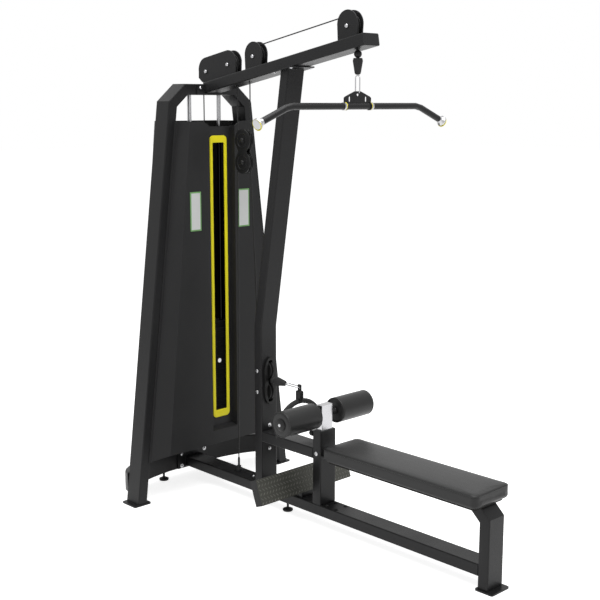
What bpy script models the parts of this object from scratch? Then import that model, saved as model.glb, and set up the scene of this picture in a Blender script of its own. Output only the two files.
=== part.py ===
"""Lat pulldown and low row machine: a tubular frame, a shrouded weight stack and its cables.

Metres, +Z up, +X from the weight tower towards the seat, the mid-plane at Y = 0.
"""
from math import atan, cos, pi, radians, sin, sqrt

import bmesh
import bpy
from mathutils import Matrix, Vector

GAP = 0.0003              # clearance between touching pieces

# Rectangular steel tube
TUBE_WIDE = 0.106
TUBE_THIN = 0.055
TUBE_CORNER = 0.006

# Weight tower: two leaning legs and an octagonal top
TOWER_HEIGHT = 2.148
TOWER_FRONT = 0.045
LEG_OUT_FLOOR = 0.525     # outer face of a leg at the floor
LEG_OUT_TOP = 0.275       # outer face of a leg where the chamfer starts
ARCH_HIGH = 0.101         # chamfered top, from its foot to the tower's top
ARCH_TOP_HALF = 0.180     # half length of the level top
FOOT_LONG = 0.117
FOOT_WIDE = 0.104
FOOT_THICK = 0.008

# Base tubes
BASE_Z0 = 0.062
FRONT_POST_X = 1.852      # rear face of the front post
REAR_BOW_X = -0.199       # middle of the rear cross tube
BOW_Z0 = 0.049            # underside of the rear bow
BOW_FLAT = 0.150          # half length of the bow's straight middle
BOW_STEPS = 20
LEVEL_DISC = 0.053
LEVEL_FOOT_Y = 0.178      # rear feet, to each side
LEVEL_FOOT_X = 0.613      # middle foot
FLANGE_THICK = 0.008
FLANGE_MARGIN = 0.003     # rear flange inside the bow's height
REAR_FLANGE_HALF = 0.105
FRONT_FOOT_HALF = 0.063
FRONT_FOOT_BACK = 0.036   # front foot behind the post's middle

# Mast and beam
MAST_X = 0.4485
MAST_BEND_Z = 0.940
MAST_LEAN = atan(0.161)
BEAM_ANGLE = atan(0.1796)
BEAM_FRONT_X = 1.158
BEAM_DROP = 0.047         # underside of the beam at the tower, below the tower's top
BEAM_FLANGE_THICK = 0.006
BEAM_FLANGE_HALF = 0.100
MAST_FLANGE_LONG = 0.150
MAST_FLANGE_WIDE = 0.156

# Pulleys and cable
PULLEY_GROOVE = 0.048     # radius at the cable's middle
PULLEY_RIM = 0.054
PULLEY_WIDE = 0.022
PULLEY_APART = 0.002
PULLEY_CLEAR = 0.004      # room round a pulley in its slot
PULLEY_MID_X = 0.393
BLOCK_APART = 0.003
BLOCK_HANG = 0.233        # block's upper axle below the beam at the tower
BLOCK_SPACE = 0.020
BLOCK_PULLEY_WIDE = 0.016
CABLE = 0.005
AXLE = 0.010
AXLE_RISE = 0.0569        # axle over the beam's top
BRACKET_RADIUS = 0.062
BRACKET_CROWN = 0.009     # round of a side plate over its axle
BRACKET_PLATE = 0.006
BLOCK_PLATE = 0.003
BRACKET_SPACE = 0.030     # clear width between two bracket plates
BOLT_HEAD = 0.019
BOLT_HEAD_HIGH = 0.008
CABLE_HOLE = 0.022

# Weight stack
STACK_X = -0.018
STACK_WIDE = 0.290
STACK_DEEP = 0.100
PLATE_HIGH = 0.025
PLATES_RESTING = 17
PLATES_LIFTED = 7
PLATE_GROOVE = 0.0025
ROD_SPREAD = 0.0975
ROD = 0.022
ROD_BORE = 0.026
ROD_SIDES = 16
STEM = 0.024
STEM_BORE = 0.028
STEM_OVER = 0.030         # stem above the top block
STACK_SEAT = 0.010
STACK_SEAT_Z0 = 0.235     # underside of the cross bar that carries the stack
SEAT_MARGIN = 0.004       # cross bar inside the legs' faces
BUMPER_HIGH = 0.014
BUMPER = 0.052
TOP_BLOCK_HIGH = 0.032
TOP_BLOCK_INSET = 0.006
PIN = 0.010
PIN_HOLE = 0.0112

# Shroud
SHEET = 0.003
SHROUD_DROP = 0.187       # shroud below the tower's top
SHROUD_BOTTOM = 0.258
SHROUD_HEM = 0.222        # lower edge at the legs
APRON_TOP = 0.330         # plain sheet under the channel
APRON_SLOPE = 0.012
SHROUD_FRONT = 0.125
CHANNEL_FRONT = 0.088
CHANNEL_HALF = 0.080
CHANNEL_DROP = 0.027      # channel below the shroud's top
WINDOW_DROP = 0.089
BEZEL_DROP = 0.073
NOTCH = 0.040             # chamfer of a wing beside the channel
FOLD_TOP = 0.206
FOLD_BOTTOM = 0.372
REAR_SHROUD_X = -0.172
REAR_SHROUD_BOTTOM = 0.170
SHROUD_LAP = 0.012        # how far the sheet lies over the leg's face
WINDOW_Z0 = 0.405
WINDOW_HALF = 0.046
BEZEL_HALF = 0.0565
BEZEL_OPEN = 0.038
BEZEL_Z0 = 0.390
BEZEL_BAR_TOP = 0.036
BEZEL_BAR_BOTTOM = 0.040
BEZEL_THICK = 0.006
BEZEL_CORNER = 0.022

# Seat
SEAT_X0 = 0.975
SEAT_X1 = 1.885
SEAT_HALF = 0.124
SEAT_TOP = 0.447
PAD_THICK = 0.064
BOARD_THICK = 0.012
BOARD_INSET = 0.020
SEAT_PLATE = 0.006
SEAT_POST_X0 = 0.846
SEAT_POST_TOP = 0.490
UPPER_RAIL_TOP = 0.400
POST_BEND_Z = 0.315
POST_LEAN = 0.055

# Thigh rollers
ROLLER_Z = 0.570
ROLLER = 0.126
ROLLER_LONG = 0.216
ROLLER_INNER = 0.072
INNER_POST_X = 0.040
INNER_POST_Y = 0.074
INNER_POST_LOW = 0.300
INNER_POST_OVER = 0.046   # roller post over the rollers' axis
LATCH_DROP = 0.038        # pop pin below the seat post's top
CROSS_BAR = 0.028
COLLAR = 0.006            # collar beside a roller, high and wide
CAP_SEAT = 0.006          # end of the bar inside its cap

# Footrest
TREAD_X = 0.762
TREAD_HALF = 0.310
TREAD_Z0 = 0.144
TREAD_HIGH = 0.128
TREAD_TILT = radians(20.0)
TREAD_THICK = 0.004
TREAD_FLANGE = 0.045

# Low row outlet on the mast
ROW_Z = 0.666
ROW_X = 0.700             # plane of the hanging handle
OUTLET_HALF = 0.046
OUTLET_SLOT = 0.030
SLOT_CORNER = 0.012
HANDLE_RADIUS = 0.150
HANDLE_TUBE = 0.026
HANDLE_TOP_Z = 0.596
ANCHOR_X = 0.232
ANCHOR_HIGH = 0.075       # cable stud on the base tube
BALL = 0.036
BALL_DROP = 0.001         # gap over the ball at rest
BALL_OUT = 0.004          # ball off the outlet at rest
BALL_ANGLE = 0.25         # where the ball is cut flat for the cable
OUTLET_THICK = 0.010

# Lat bar
BAR_X = 1.075
BAR_HANG = 0.248          # bar below the beam
HANGER_HIGH = 0.060       # hook's place over the bar
HANGER_HALF = 0.087
HANGER_SHOULDER = 0.022   # upright ends of the hanger over the bar
HANGER_SLOT_Y = 0.053
BAR = 0.030
BAR_STRAIGHT = 0.420
BAR_END = 0.575
BAR_DROP = 0.062
CAP_LONG = 0.034
CAP = 0.050
HOOK_WIRE = 0.0056

LEG_TOP_Z = TOWER_HEIGHT - ARCH_HIGH
BEAM_REAR_Z = TOWER_HEIGHT - BEAM_DROP
SHROUD_TOP = TOWER_HEIGHT - SHROUD_DROP
CHANNEL_TOP = SHROUD_TOP - CHANNEL_DROP
WINDOW_Z1 = SHROUD_TOP - WINDOW_DROP
BEZEL_Z1 = SHROUD_TOP - BEZEL_DROP
REAR_END = REAR_BOW_X - TUBE_THIN / 2
FRONT_END = FRONT_POST_X + TUBE_THIN / 2 + FOOT_LONG / 2
SHIFT_X = -(REAR_END + FRONT_END) / 2      # puts the origin in the middle of the length
BEAM_SLOPE = sin(BEAM_ANGLE) / cos(BEAM_ANGLE)
BAR_Z = BEAM_REAR_Z + BEAM_SLOPE * (BAR_X - TOWER_FRONT) - BAR_HANG
HANGER_TOP = BAR_Z + HANGER_HIGH
TOWER_BACK = TOWER_FRONT - TUBE_WIDE
LEG_SLOPE = (LEG_OUT_FLOOR - LEG_OUT_TOP) / LEG_TOP_Z
LEG_ACROSS = TUBE_THIN * sqrt(1.0 + LEG_SLOPE ** 2)
BASE_TOP = BASE_Z0 + TUBE_THIN
TUBE_RISE = TUBE_THIN / cos(BEAM_ANGLE)
BRACKET_Y = BRACKET_SPACE / 2
BEAM_REAR_X = TOWER_FRONT + GAP + BEAM_FLANGE_THICK / 2
PULLEY_REAR_X = STACK_X + PULLEY_GROOVE
PULLEY_FRONT_X = BAR_X - PULLEY_GROOVE
BLOCK_X = PULLEY_MID_X - 2 * PULLEY_GROOVE
PULLEY_SECOND_X = BLOCK_X - 2 * PULLEY_GROOVE
BLOCK_UPPER_Z = BEAM_REAR_Z - BLOCK_HANG
BLOCK_LOWER_Z = BLOCK_UPPER_Z - 2 * PULLEY_RIM - BLOCK_APART
ROW_UPPER_Z = ROW_Z + PULLEY_GROOVE
ROW_LOWER_Z = ROW_UPPER_Z - 2 * PULLEY_RIM - PULLEY_APART
ROW_MIDDLE_Z = (ROW_UPPER_Z + ROW_LOWER_Z) / 2
STACK_FLOOR = STACK_SEAT_Z0 + STACK_SEAT + BUMPER_HIGH + 2 * GAP
SPLIT_Z = STACK_FLOOR + PLATES_RESTING * PLATE_HIGH
STACK_TOP = SPLIT_Z + GAP + PLATES_LIFTED * PLATE_HIGH
STEM_TOP = STACK_TOP + TOP_BLOCK_HIGH + STEM_OVER
MAST_FRONT = MAST_X + TUBE_THIN / 2
MAST_BACK = MAST_X - TUBE_THIN / 2
ROW_BALL_X = MAST_FRONT + OUTLET_THICK + GAP + BALL / 2 + BALL_OUT
BALL_FLAT = BALL / 2 * cos(BALL_ANGLE)
SEAT_POST_X1 = SEAT_POST_X0 + TUBE_THIN
SEAT_POST_X = (SEAT_POST_X0 + SEAT_POST_X1) / 2
PAD_BOTTOM = SEAT_TOP - PAD_THICK
SEAT_UNDER = PAD_BOTTOM - BOARD_THICK - SEAT_PLATE - 2 * GAP

for old in list(bpy.data.objects):
    bpy.data.objects.remove(old, do_unlink=True)


def finish(name, color, rough, metal):
    """Principled material with the piece's own colour."""
    made = bpy.data.materials.new(name)
    made.use_nodes = True
    shader = made.node_tree.nodes["Principled BSDF"]
    shader.inputs["Base Color"].default_value = (*color, 1.0)
    shader.inputs["Roughness"].default_value = rough
    shader.inputs["Metallic"].default_value = metal
    return made


POWDER = finish("black_powder_coat", (0.020, 0.020, 0.021), 0.45, 0.0)
SHROUD_COAT = finish("shroud_coat", (0.023, 0.023, 0.024), 0.40, 0.0)
YELLOW = finish("yellow_plastic", (0.66, 0.60, 0.02), 0.40, 0.0)
CHROME = finish("chrome", (0.75, 0.75, 0.76), 0.12, 1.0)
PLASTIC = finish("black_plastic", (0.012, 0.012, 0.012), 0.40, 0.0)
RUBBER = finish("black_rubber", (0.015, 0.015, 0.015), 0.70, 0.0)
VINYL = finish("black_vinyl", (0.018, 0.018, 0.018), 0.45, 0.0)
IRON = finish("painted_iron", (0.016, 0.016, 0.017), 0.55, 0.2)
STEEL_ROPE = finish("steel_rope", (0.22, 0.22, 0.22), 0.45, 0.6)
TREAD = finish("tread_plate", (0.10, 0.10, 0.09), 0.50, 0.7)
WOOD = finish("plywood", (0.020, 0.018, 0.016), 0.70, 0.0)


def publish(name, bm, material, origin=(0.0, 0.0, 0.0), smooth=None):
    """Make one named object of a closed mesh, with its origin where it turns or slides."""
    place = Vector(origin)
    bmesh.ops.remove_doubles(bm, verts=bm.verts, dist=1e-6)
    bmesh.ops.recalc_face_normals(bm, faces=bm.faces)
    bmesh.ops.translate(bm, verts=bm.verts, vec=-place)
    mesh = bpy.data.meshes.new(name)
    bm.to_mesh(mesh)
    bm.free()
    mesh.materials.append(material)
    if smooth is not None:
        mesh.shade_smooth()
        mesh.set_sharp_from_angle(angle=radians(smooth))
    made = bpy.data.objects.new(name, mesh)
    bpy.context.scene.collection.objects.link(made)
    made.location = place + Vector((SHIFT_X, 0.0, 0.0))
    return made


def rounded_rect(half_u, half_v, radius, steps=2):
    """Corner-rounded rectangle as a list of 2-D points, counter-clockwise."""
    points = []
    for corner, (su, sv) in enumerate(((1, 1), (-1, 1), (-1, -1), (1, -1))):
        for k in range(steps + 1):
            turn = (corner + k / steps) * pi / 2
            points.append((su * (half_u - radius) + radius * cos(turn),
                           sv * (half_v - radius) + radius * sin(turn)))
    return points


def loft(bm, rings):
    """Skin a list of point rings and close both ends."""
    loops = [[bm.verts.new(p) for p in ring] for ring in rings]
    count = len(loops[0])
    for low, high in zip(loops, loops[1:]):
        for i in range(count):
            j = (i + 1) % count
            bm.faces.new((low[i], low[j], high[j], high[i]))
    bm.faces.new(list(reversed(loops[0])))
    bm.faces.new(loops[-1])


def swept(section, path, side, ends=(None, None)):
    """Mitred sweep of a 2-D section along a planar path; side is the normal of the path's plane."""
    bm = bmesh.new()
    points = [Vector(p) for p in path]
    side = Vector(side).normalized()
    runs = [(b - a).normalized() for a, b in zip(points, points[1:])]
    rings = []
    for i, point in enumerate(points):
        before = runs[max(i - 1, 0)]
        after = runs[min(i, len(runs) - 1)]
        cut = (before + after).normalized()
        if i == 0 and ends[0]:
            cut = Vector(ends[0]).normalized()
        if i == len(points) - 1 and ends[1]:
            cut = Vector(ends[1]).normalized()
        run = before if i else after
        across = side.cross(run)
        ring = []
        for u, v in section:
            start = point + side * u + across * v
            ring.append(start + run * ((point - start).dot(cut) / run.dot(cut)))
        rings.append(ring)
    loft(bm, rings)
    return bm


def tube_bar(name, path, side, along_side, ends=(None, None), material=POWDER):
    """Rectangular tube along a path; along_side is its width in the side direction."""
    other = TUBE_WIDE if along_side == TUBE_THIN else TUBE_THIN
    section = rounded_rect(along_side / 2, other / 2, TUBE_CORNER)
    return publish(name, swept(section, path, side, ends), material, smooth=35)


def round_bar(bm, start, end, diameter, sides=16):
    """Add a round bar between two points."""
    a, b = Vector(start), Vector(end)
    turn = (b - a).to_track_quat("Z", "Y").to_matrix().to_4x4()
    rings = []
    for centre in (a, b):
        rings.append([centre + turn @ Vector((cos(2 * pi * k / sides), sin(2 * pi * k / sides), 0.0))
                      * (diameter / 2) for k in range(sides)])
    loft(bm, rings)


def turned(name, profile, centre, axis, material, sides=24, smooth=40):
    """Turned piece: (radius, height) pairs up the axis; a closed profile leaves a bore."""
    bm = bmesh.new()
    turn = Vector(axis).to_track_quat("Z", "Y").to_matrix().to_4x4()
    place = Matrix.Translation(Vector(centre)) @ turn
    loops = []
    for radius, height in profile:
        loops.append([bm.verts.new(place @ Vector((radius * cos(2 * pi * k / sides),
                                                   radius * sin(2 * pi * k / sides), height)))
                      for k in range(sides)])
    bored = profile[0] == profile[-1]
    if bored:
        for vert in loops[-1]:
            bm.verts.remove(vert)
        loops[-1] = loops[0]
    for low, high in zip(loops, loops[1:]):
        for i in range(sides):
            j = (i + 1) % sides
            bm.faces.new((low[i], low[j], high[j], high[i]))
    if not bored:
        bm.faces.new(loops[0])
        bm.faces.new(loops[-1])
    return publish(name, bm, material, centre, smooth)


def slab(outline, thick, place):
    """Extrude a flat outline (in local X, Y) by thick along local Z and put it in place."""
    bm = bmesh.new()
    rings = [[place @ Vector((x, y, z)) for x, y in outline] for z in (0.0, thick)]
    loft(bm, rings)
    return bm


def block(name, low, high, material, radius=0.0, origin=(0.0, 0.0, 0.0)):
    """Upright block between two corners, with its vertical edges rounded."""
    half = [(h - l) / 2 for l, h in zip(low, high)]
    centre = Matrix.Translation(((low[0] + high[0]) / 2, (low[1] + high[1]) / 2, low[2]))
    if radius:
        outline = rounded_rect(half[0], half[1], radius, 3)
    else:
        outline = [(half[0], half[1]), (-half[0], half[1]), (-half[0], -half[1]), (half[0], -half[1])]
    return publish(name, slab(outline, high[2] - low[2], centre), material, origin, 35 if radius else None)


def cutter(name, bm):
    """Keep a mesh as a hidden cutting body."""
    made = publish(name, bm, POWDER)
    made.hide_render = True
    made.display_type = "WIRE"
    return made


def cut(target, tool):
    """Take the tool's shape out of the target."""
    step = target.modifiers.new("cut_" + tool.name, "BOOLEAN")
    step.operation = "DIFFERENCE"
    step.object = tool


def weld(target, tool):
    """Make the tool's shape one body with the target."""
    tool.hide_render = True
    tool.display_type = "WIRE"
    step = target.modifiers.new("weld_" + tool.name, "BOOLEAN")
    step.operation = "UNION"
    step.object = tool


def drill(target, start, end, diameter, sides=12):
    """Round hole through a piece."""
    bm = bmesh.new()
    round_bar(bm, start, end, diameter, sides)
    cut(target, cutter(target.name + "_hole_" + str(len(target.modifiers)), bm))


def leg_out(z):
    """Outer face of a leaning leg at a height."""
    return LEG_OUT_FLOOR - LEG_SLOPE * z


def leg_in(z):
    """Inner face of a leaning leg at a height."""
    return leg_out(z) - LEG_ACROSS


def beam_under(x):
    """Underside of the inclined beam."""
    return BEAM_REAR_Z + BEAM_SLOPE * (x - TOWER_FRONT)


def beam_top(x):
    """Top of the inclined beam."""
    return beam_under(x) + TUBE_RISE


def build_tower():
    """Two legs on foot plates, joined by an octagonal top."""
    middle_x = TOWER_FRONT - TUBE_WIDE / 2
    half = LEG_ACROSS / 2
    level = TOWER_HEIGHT - TUBE_THIN / 2
    outer = leg_out(LEG_TOP_Z) - half
    inner = ARCH_TOP_HALF - TUBE_THIN * 0.35
    chamfer = Vector((0, outer - inner, level - LEG_TOP_Z)).normalized()
    lean = Vector((0, LEG_SLOPE, 1)).normalized()
    mitre = chamfer + lean
    for side, tag in ((-1, "near"), (1, "far")):
        low = Vector((middle_x, side * (leg_out(FOOT_THICK / 2) - half), FOOT_THICK / 2))
        high = Vector((middle_x, side * (leg_out(LEG_TOP_Z) - half), LEG_TOP_Z - GAP))
        leg = tube_bar("tower_leg_" + tag, (low, high), (1, 0, 0), TUBE_WIDE,
                       ((0, 0, 1), (0, -side * mitre.y, mitre.z)))
        foot_y = side * (leg_out(0.0) - half)
        weld(leg, block("tower_foot_" + tag,
                        (middle_x - FOOT_LONG / 2, foot_y - FOOT_WIDE / 2, 0.0),
                        (middle_x + FOOT_LONG / 2, foot_y + FOOT_WIDE / 2, FOOT_THICK), POWDER, 0.010))
    path = [(middle_x, -outer, LEG_TOP_Z), (middle_x, -inner, level),
            (middle_x, inner, level), (middle_x, outer, LEG_TOP_Z)]
    arch = tube_bar("tower_arch", path, (1, 0, 0), TUBE_WIDE,
                    ((0, mitre.y, mitre.z), (0, mitre.y, -mitre.z)))
    drill(arch, (STACK_X, 0, level - TUBE_THIN), (STACK_X, 0, level + TUBE_THIN), CABLE_HOLE)


def bow_path():
    """Middle line of the rear base bow: a wide curve from leg to leg, flat at the base tube."""
    z = BOW_Z0 + TUBE_WIDE / 2
    out = leg_out(z) - LEG_ACROSS / 2
    start_x = TOWER_BACK - GAP
    deep = start_x - REAR_BOW_X
    swell = 1.0 / sqrt(1.0 - (BOW_FLAT / out) ** 2)
    turns = [pi * k / BOW_STEPS for k in range(BOW_STEPS + 1)]
    return [(start_x - deep * min(swell * sin(a), 1.0), -out * cos(a), z) for a in turns]


def build_base():
    """Rear bow, long base tube in two lengths, flanges and the front post."""
    tube_bar("rear_base_bow", bow_path(), (0, 0, 1), TUBE_WIDE, ((-1, 0, 0), (1, 0, 0)))
    bow_front = REAR_BOW_X + TUBE_THIN / 2
    flange_x = bow_front + GAP
    middle = BASE_Z0 + TUBE_THIN / 2
    base = tube_bar("base_tube", ((flange_x + FLANGE_THICK / 2, 0, middle), (FRONT_POST_X - GAP, 0, middle)),
                    (0, 1, 0), TUBE_WIDE)
    weld(base, block("rear_flange", (flange_x, -REAR_FLANGE_HALF, BOW_Z0 + FLANGE_MARGIN),
                     (flange_x + FLANGE_THICK, REAR_FLANGE_HALF, BOW_Z0 + TUBE_WIDE - FLANGE_MARGIN),
                     POWDER))
    post_x = FRONT_POST_X + TUBE_THIN / 2
    post = tube_bar("front_post", ((post_x, 0, FOOT_THICK / 2), (post_x, 0, POST_BEND_Z),
                                   (post_x - POST_LEAN, 0, SEAT_UNDER + SEAT_PLATE / 2)),
                    (0, 1, 0), TUBE_WIDE, (None, (0, 0, 1)))
    weld(post, block("front_foot", (post_x - FRONT_FOOT_BACK, -FRONT_FOOT_HALF, 0.0),
                     (post_x + FOOT_LONG / 2, FRONT_FOOT_HALF, FOOT_THICK), POWDER, 0.010))
    weld(post, block("seat_plate", (SEAT_POST_X1 + GAP, -TUBE_WIDE / 2 + 0.002, SEAT_UNDER),
                     (SEAT_X1 - 0.040, TUBE_WIDE / 2 - 0.002, SEAT_UNDER + SEAT_PLATE), POWDER))
    for side, tag in ((-1, "near"), (1, "far")):
        levelling_foot("levelling_foot_" + tag, REAR_BOW_X, side * LEVEL_FOOT_Y, BOW_Z0)
    levelling_foot("levelling_foot_middle", LEVEL_FOOT_X, 0.0, BASE_Z0)


def levelling_foot(name, x, y, under):
    """Rubber disc on a threaded stem under a base tube."""
    top = under - GAP
    disc = LEVEL_DISC / 2
    profile = [(disc - 0.002, 0.0), (disc, 0.005), (disc, 0.010),
               (0.014, 0.016), (0.006, 0.018), (0.006, top)]
    turned(name, profile, (x, y, 0.0), (0, 0, 1), RUBBER, 16)


def build_mast():
    """Bent mast on the base tube, flanged to the beam, with slots for the row pulleys."""
    lean = Vector((sin(MAST_LEAN), 0, cos(MAST_LEAN)))
    bend = Vector((MAST_X, 0, MAST_BEND_Z))
    beam_run = Vector((cos(BEAM_ANGLE), 0, sin(BEAM_ANGLE)))
    beam_up = Vector((-sin(BEAM_ANGLE), 0, cos(BEAM_ANGLE)))
    under = Vector((TOWER_FRONT, 0, BEAM_REAR_Z)) - beam_up * (BEAM_FLANGE_THICK / 2 + GAP)
    top = bend + lean * ((under - bend).dot(beam_up) / lean.dot(beam_up))
    mast = tube_bar("mast", ((MAST_X, 0, BASE_TOP + GAP), bend, top), (0, 1, 0), TUBE_WIDE, (None, beam_up))
    slot_half = (ROW_UPPER_Z - ROW_LOWER_Z) / 2 + PULLEY_RIM + PULLEY_CLEAR
    slot = slab(rounded_rect(slot_half, OUTLET_SLOT / 2, SLOT_CORNER, 3), 4 * TUBE_THIN,
                Matrix.Translation((MAST_BACK - TUBE_THIN, 0, ROW_MIDDLE_Z))
                @ Matrix.Rotation(pi / 2, 4, "Y"))
    cut(mast, cutter("mast_slot", slot))
    place = Matrix.Translation(top - beam_up * BEAM_FLANGE_THICK / 2) @ Matrix.Rotation(-BEAM_ANGLE, 4, "Y")
    outline = rounded_rect(MAST_FLANGE_LONG / 2, MAST_FLANGE_WIDE / 2, 0.008, 2)
    flange = slab(outline, BEAM_FLANGE_THICK, place)
    weld(mast, publish("mast_flange", flange, POWDER))
    half = TUBE_THIN / 2
    rear = Vector((BEAM_REAR_X, 0, beam_under(BEAM_REAR_X))) + Vector((0, 0, TUBE_RISE / 2))
    front = Vector((BEAM_FRONT_X, 0, beam_under(BEAM_FRONT_X))) + beam_up * half
    beam = tube_bar("top_beam", (rear, front), (0, 1, 0), TUBE_WIDE, ((1, 0, 0), beam_run))
    for x in (BLOCK_X - PULLEY_GROOVE, BLOCK_X + PULLEY_GROOVE, BAR_X):
        drill(beam, (x, 0, beam_under(x) - 0.05), (x, 0, beam_top(x) + 0.05), CABLE_HOLE)
    flange_x = TOWER_FRONT + GAP
    weld(beam, block("beam_flange", (flange_x, -BEAM_FLANGE_HALF, TOWER_HEIGHT - TUBE_THIN + 0.003),
                     (flange_x + BEAM_FLANGE_THICK, BEAM_FLANGE_HALF, TOWER_HEIGHT - 0.002), POWDER))


def bracket_outline(lows, tops):
    """Side plate: flat foot, then a round over each axle (points in X, Z)."""
    first, last = tops[0], tops[-1]
    points = [lows[0], lows[1]]
    steps = 10
    start = 0.0
    for centre, a0, a1 in ((last, start, pi / 2), (first, pi / 2, pi)):
        for k in range(steps + 1):
            a = a0 + (a1 - a0) * k / steps
            tilt = a + (BEAM_ANGLE if len(tops) > 1 else 0.0)
            points.append((centre[0] + BRACKET_RADIUS * cos(tilt),
                           centre[1] + BRACKET_CROWN + BRACKET_RADIUS * sin(tilt)))
    return points


def standing(y):
    """Frame whose local X, Y are world X, Z, at a Y position, extruding towards +Y."""
    return Matrix.Translation((0, y, 0)) @ Matrix(((1, 0, 0, 0), (0, 0, 1, 0), (0, 1, 0, 0), (0, 0, 0, 1)))


def axle_points(xs):
    """Axle places over the beam's top."""
    return [(x, beam_top(x) + AXLE_RISE) for x in xs]


def build_brackets():
    """Pairs of side plates on the beam, with the pulleys and their axle bolts between them."""
    groups = (("rear", (PULLEY_REAR_X, PULLEY_SECOND_X)), ("middle", (PULLEY_MID_X,)),
              ("front", (PULLEY_FRONT_X,)))
    foot = BRACKET_RADIUS - 0.004
    for tag, xs in groups:
        axles = axle_points(xs)
        low_x = max(xs[0] - foot, BEAM_REAR_X + 0.004)
        lows = [(low_x, beam_top(low_x) + GAP), (xs[-1] + foot, beam_top(xs[-1] + foot) + GAP)]
        outline = bracket_outline(lows, axles)
        if tag == "rear":
            outline.append((xs[0] - BRACKET_RADIUS, axles[0][1] - 0.030))
            outline.append((xs[0] - BRACKET_RADIUS * 0.55, lows[0][1]))
        near = slab(outline, BRACKET_PLATE, standing(-BRACKET_Y - BRACKET_PLATE))
        bracket = publish(tag + "_bracket", near, POWDER)
        far = slab(outline, BRACKET_PLATE, standing(BRACKET_Y))
        weld(bracket, publish(tag + "_bracket_far", far, POWDER))
        for number, (x, z) in enumerate(axles, 1):
            label = tag if len(axles) == 1 else tag + "_" + str(number)
            pulley("pulley_" + label, x, z)
            weld(bracket, axle_bolt("axle_" + label, x, z, BRACKET_Y + BRACKET_PLATE))


def pulley(name, x, z, wide=PULLEY_WIDE):
    """Grooved plastic wheel with a bore, turned about Y."""
    half = wide / 2
    bore = AXLE / 2 + GAP
    deep = PULLEY_GROOVE - CABLE / 2 - 0.0008
    flat = CABLE / 2 + 0.0007
    profile = [(bore, -half), (PULLEY_RIM, -half), (PULLEY_RIM, -half + 0.004), (deep, -flat),
               (deep, flat), (PULLEY_RIM, half - 0.004), (PULLEY_RIM, half), (bore, half), (bore, -half)]
    return turned(name, profile, (x, 0, z), (0, 1, 0), PLASTIC, 24)


def axle_bolt(name, x, z, outer):
    """Bolt through both side plates, with a head and a nut outside them."""
    reach = outer + GAP
    head = BOLT_HEAD / 2
    tip = reach + BOLT_HEAD_HIGH
    profile = [(head - 0.002, -tip), (head, -tip + 0.002), (head, -reach), (AXLE / 2, -reach),
               (AXLE / 2, reach), (head, reach), (head, tip)]
    return turned(name, profile, (x, 0, z), (0, 1, 0), CHROME, 12)


def build_block():
    """Floating block: two pulleys between figure-eight plates, hung in the cable's bight."""
    waist = PULLEY_RIM * 0.55
    edge = PULLEY_RIM + 0.002
    outline = []
    for centre, a0 in ((BLOCK_LOWER_Z, pi), (BLOCK_UPPER_Z, 0.0)):
        for k in range(13):
            a = a0 - radians(20) + radians(220) * k / 12
            outline.append((BLOCK_X + edge * cos(a), centre + edge * sin(a)))
        side = 1 if a0 else -1
        outline.append((BLOCK_X + side * waist, (BLOCK_LOWER_Z + BLOCK_UPPER_Z) / 2))
    origin = (BLOCK_X, 0, BLOCK_UPPER_Z)
    block_y = BLOCK_SPACE / 2
    near = slab(outline, BLOCK_PLATE, standing(-block_y - BLOCK_PLATE))
    cage = publish("floating_block", near, PLASTIC, origin)
    weld(cage, publish("floating_block_far", slab(outline, BLOCK_PLATE, standing(block_y)), PLASTIC))
    for tag, z in (("upper", BLOCK_UPPER_Z), ("lower", BLOCK_LOWER_Z)):
        pulley("block_pulley_" + tag, BLOCK_X, z, BLOCK_PULLEY_WIDE)
        weld(cage, axle_bolt("block_axle_" + tag, BLOCK_X, z, block_y + BLOCK_PLATE))


def grooved_stack(count, bottom):
    """A pile of plates as one solid, drawn in at each joint between two plates."""
    bm = bmesh.new()
    rings = []
    lip = 0.0015
    for k in range(count):
        z0 = bottom + k * PLATE_HIGH
        levels = ((PLATE_GROOVE, z0), (0.0, z0 + lip), (0.0, z0 + PLATE_HIGH - lip))
        for inset, z in levels:
            outline = rounded_rect(STACK_DEEP / 2 - inset, STACK_WIDE / 2 - inset, 0.008, 1)
            rings.append([(STACK_X + x, y, z) for x, y in outline])
    outline = rounded_rect(STACK_DEEP / 2 - PLATE_GROOVE, STACK_WIDE / 2 - PLATE_GROOVE, 0.008, 1)
    rings.append([(STACK_X + x, y, bottom + count * PLATE_HIGH) for x, y in outline])
    loft(bm, rings)
    return bm


def bore_stack(piece, low, high):
    """Holes for the two guide rods and the selector stem."""
    for y, bore in ((-ROD_SPREAD, ROD_BORE), (ROD_SPREAD, ROD_BORE), (0.0, STEM_BORE)):
        drill(piece, (STACK_X, y, low - 0.02), (STACK_X, y, high + 0.02), bore)


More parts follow.
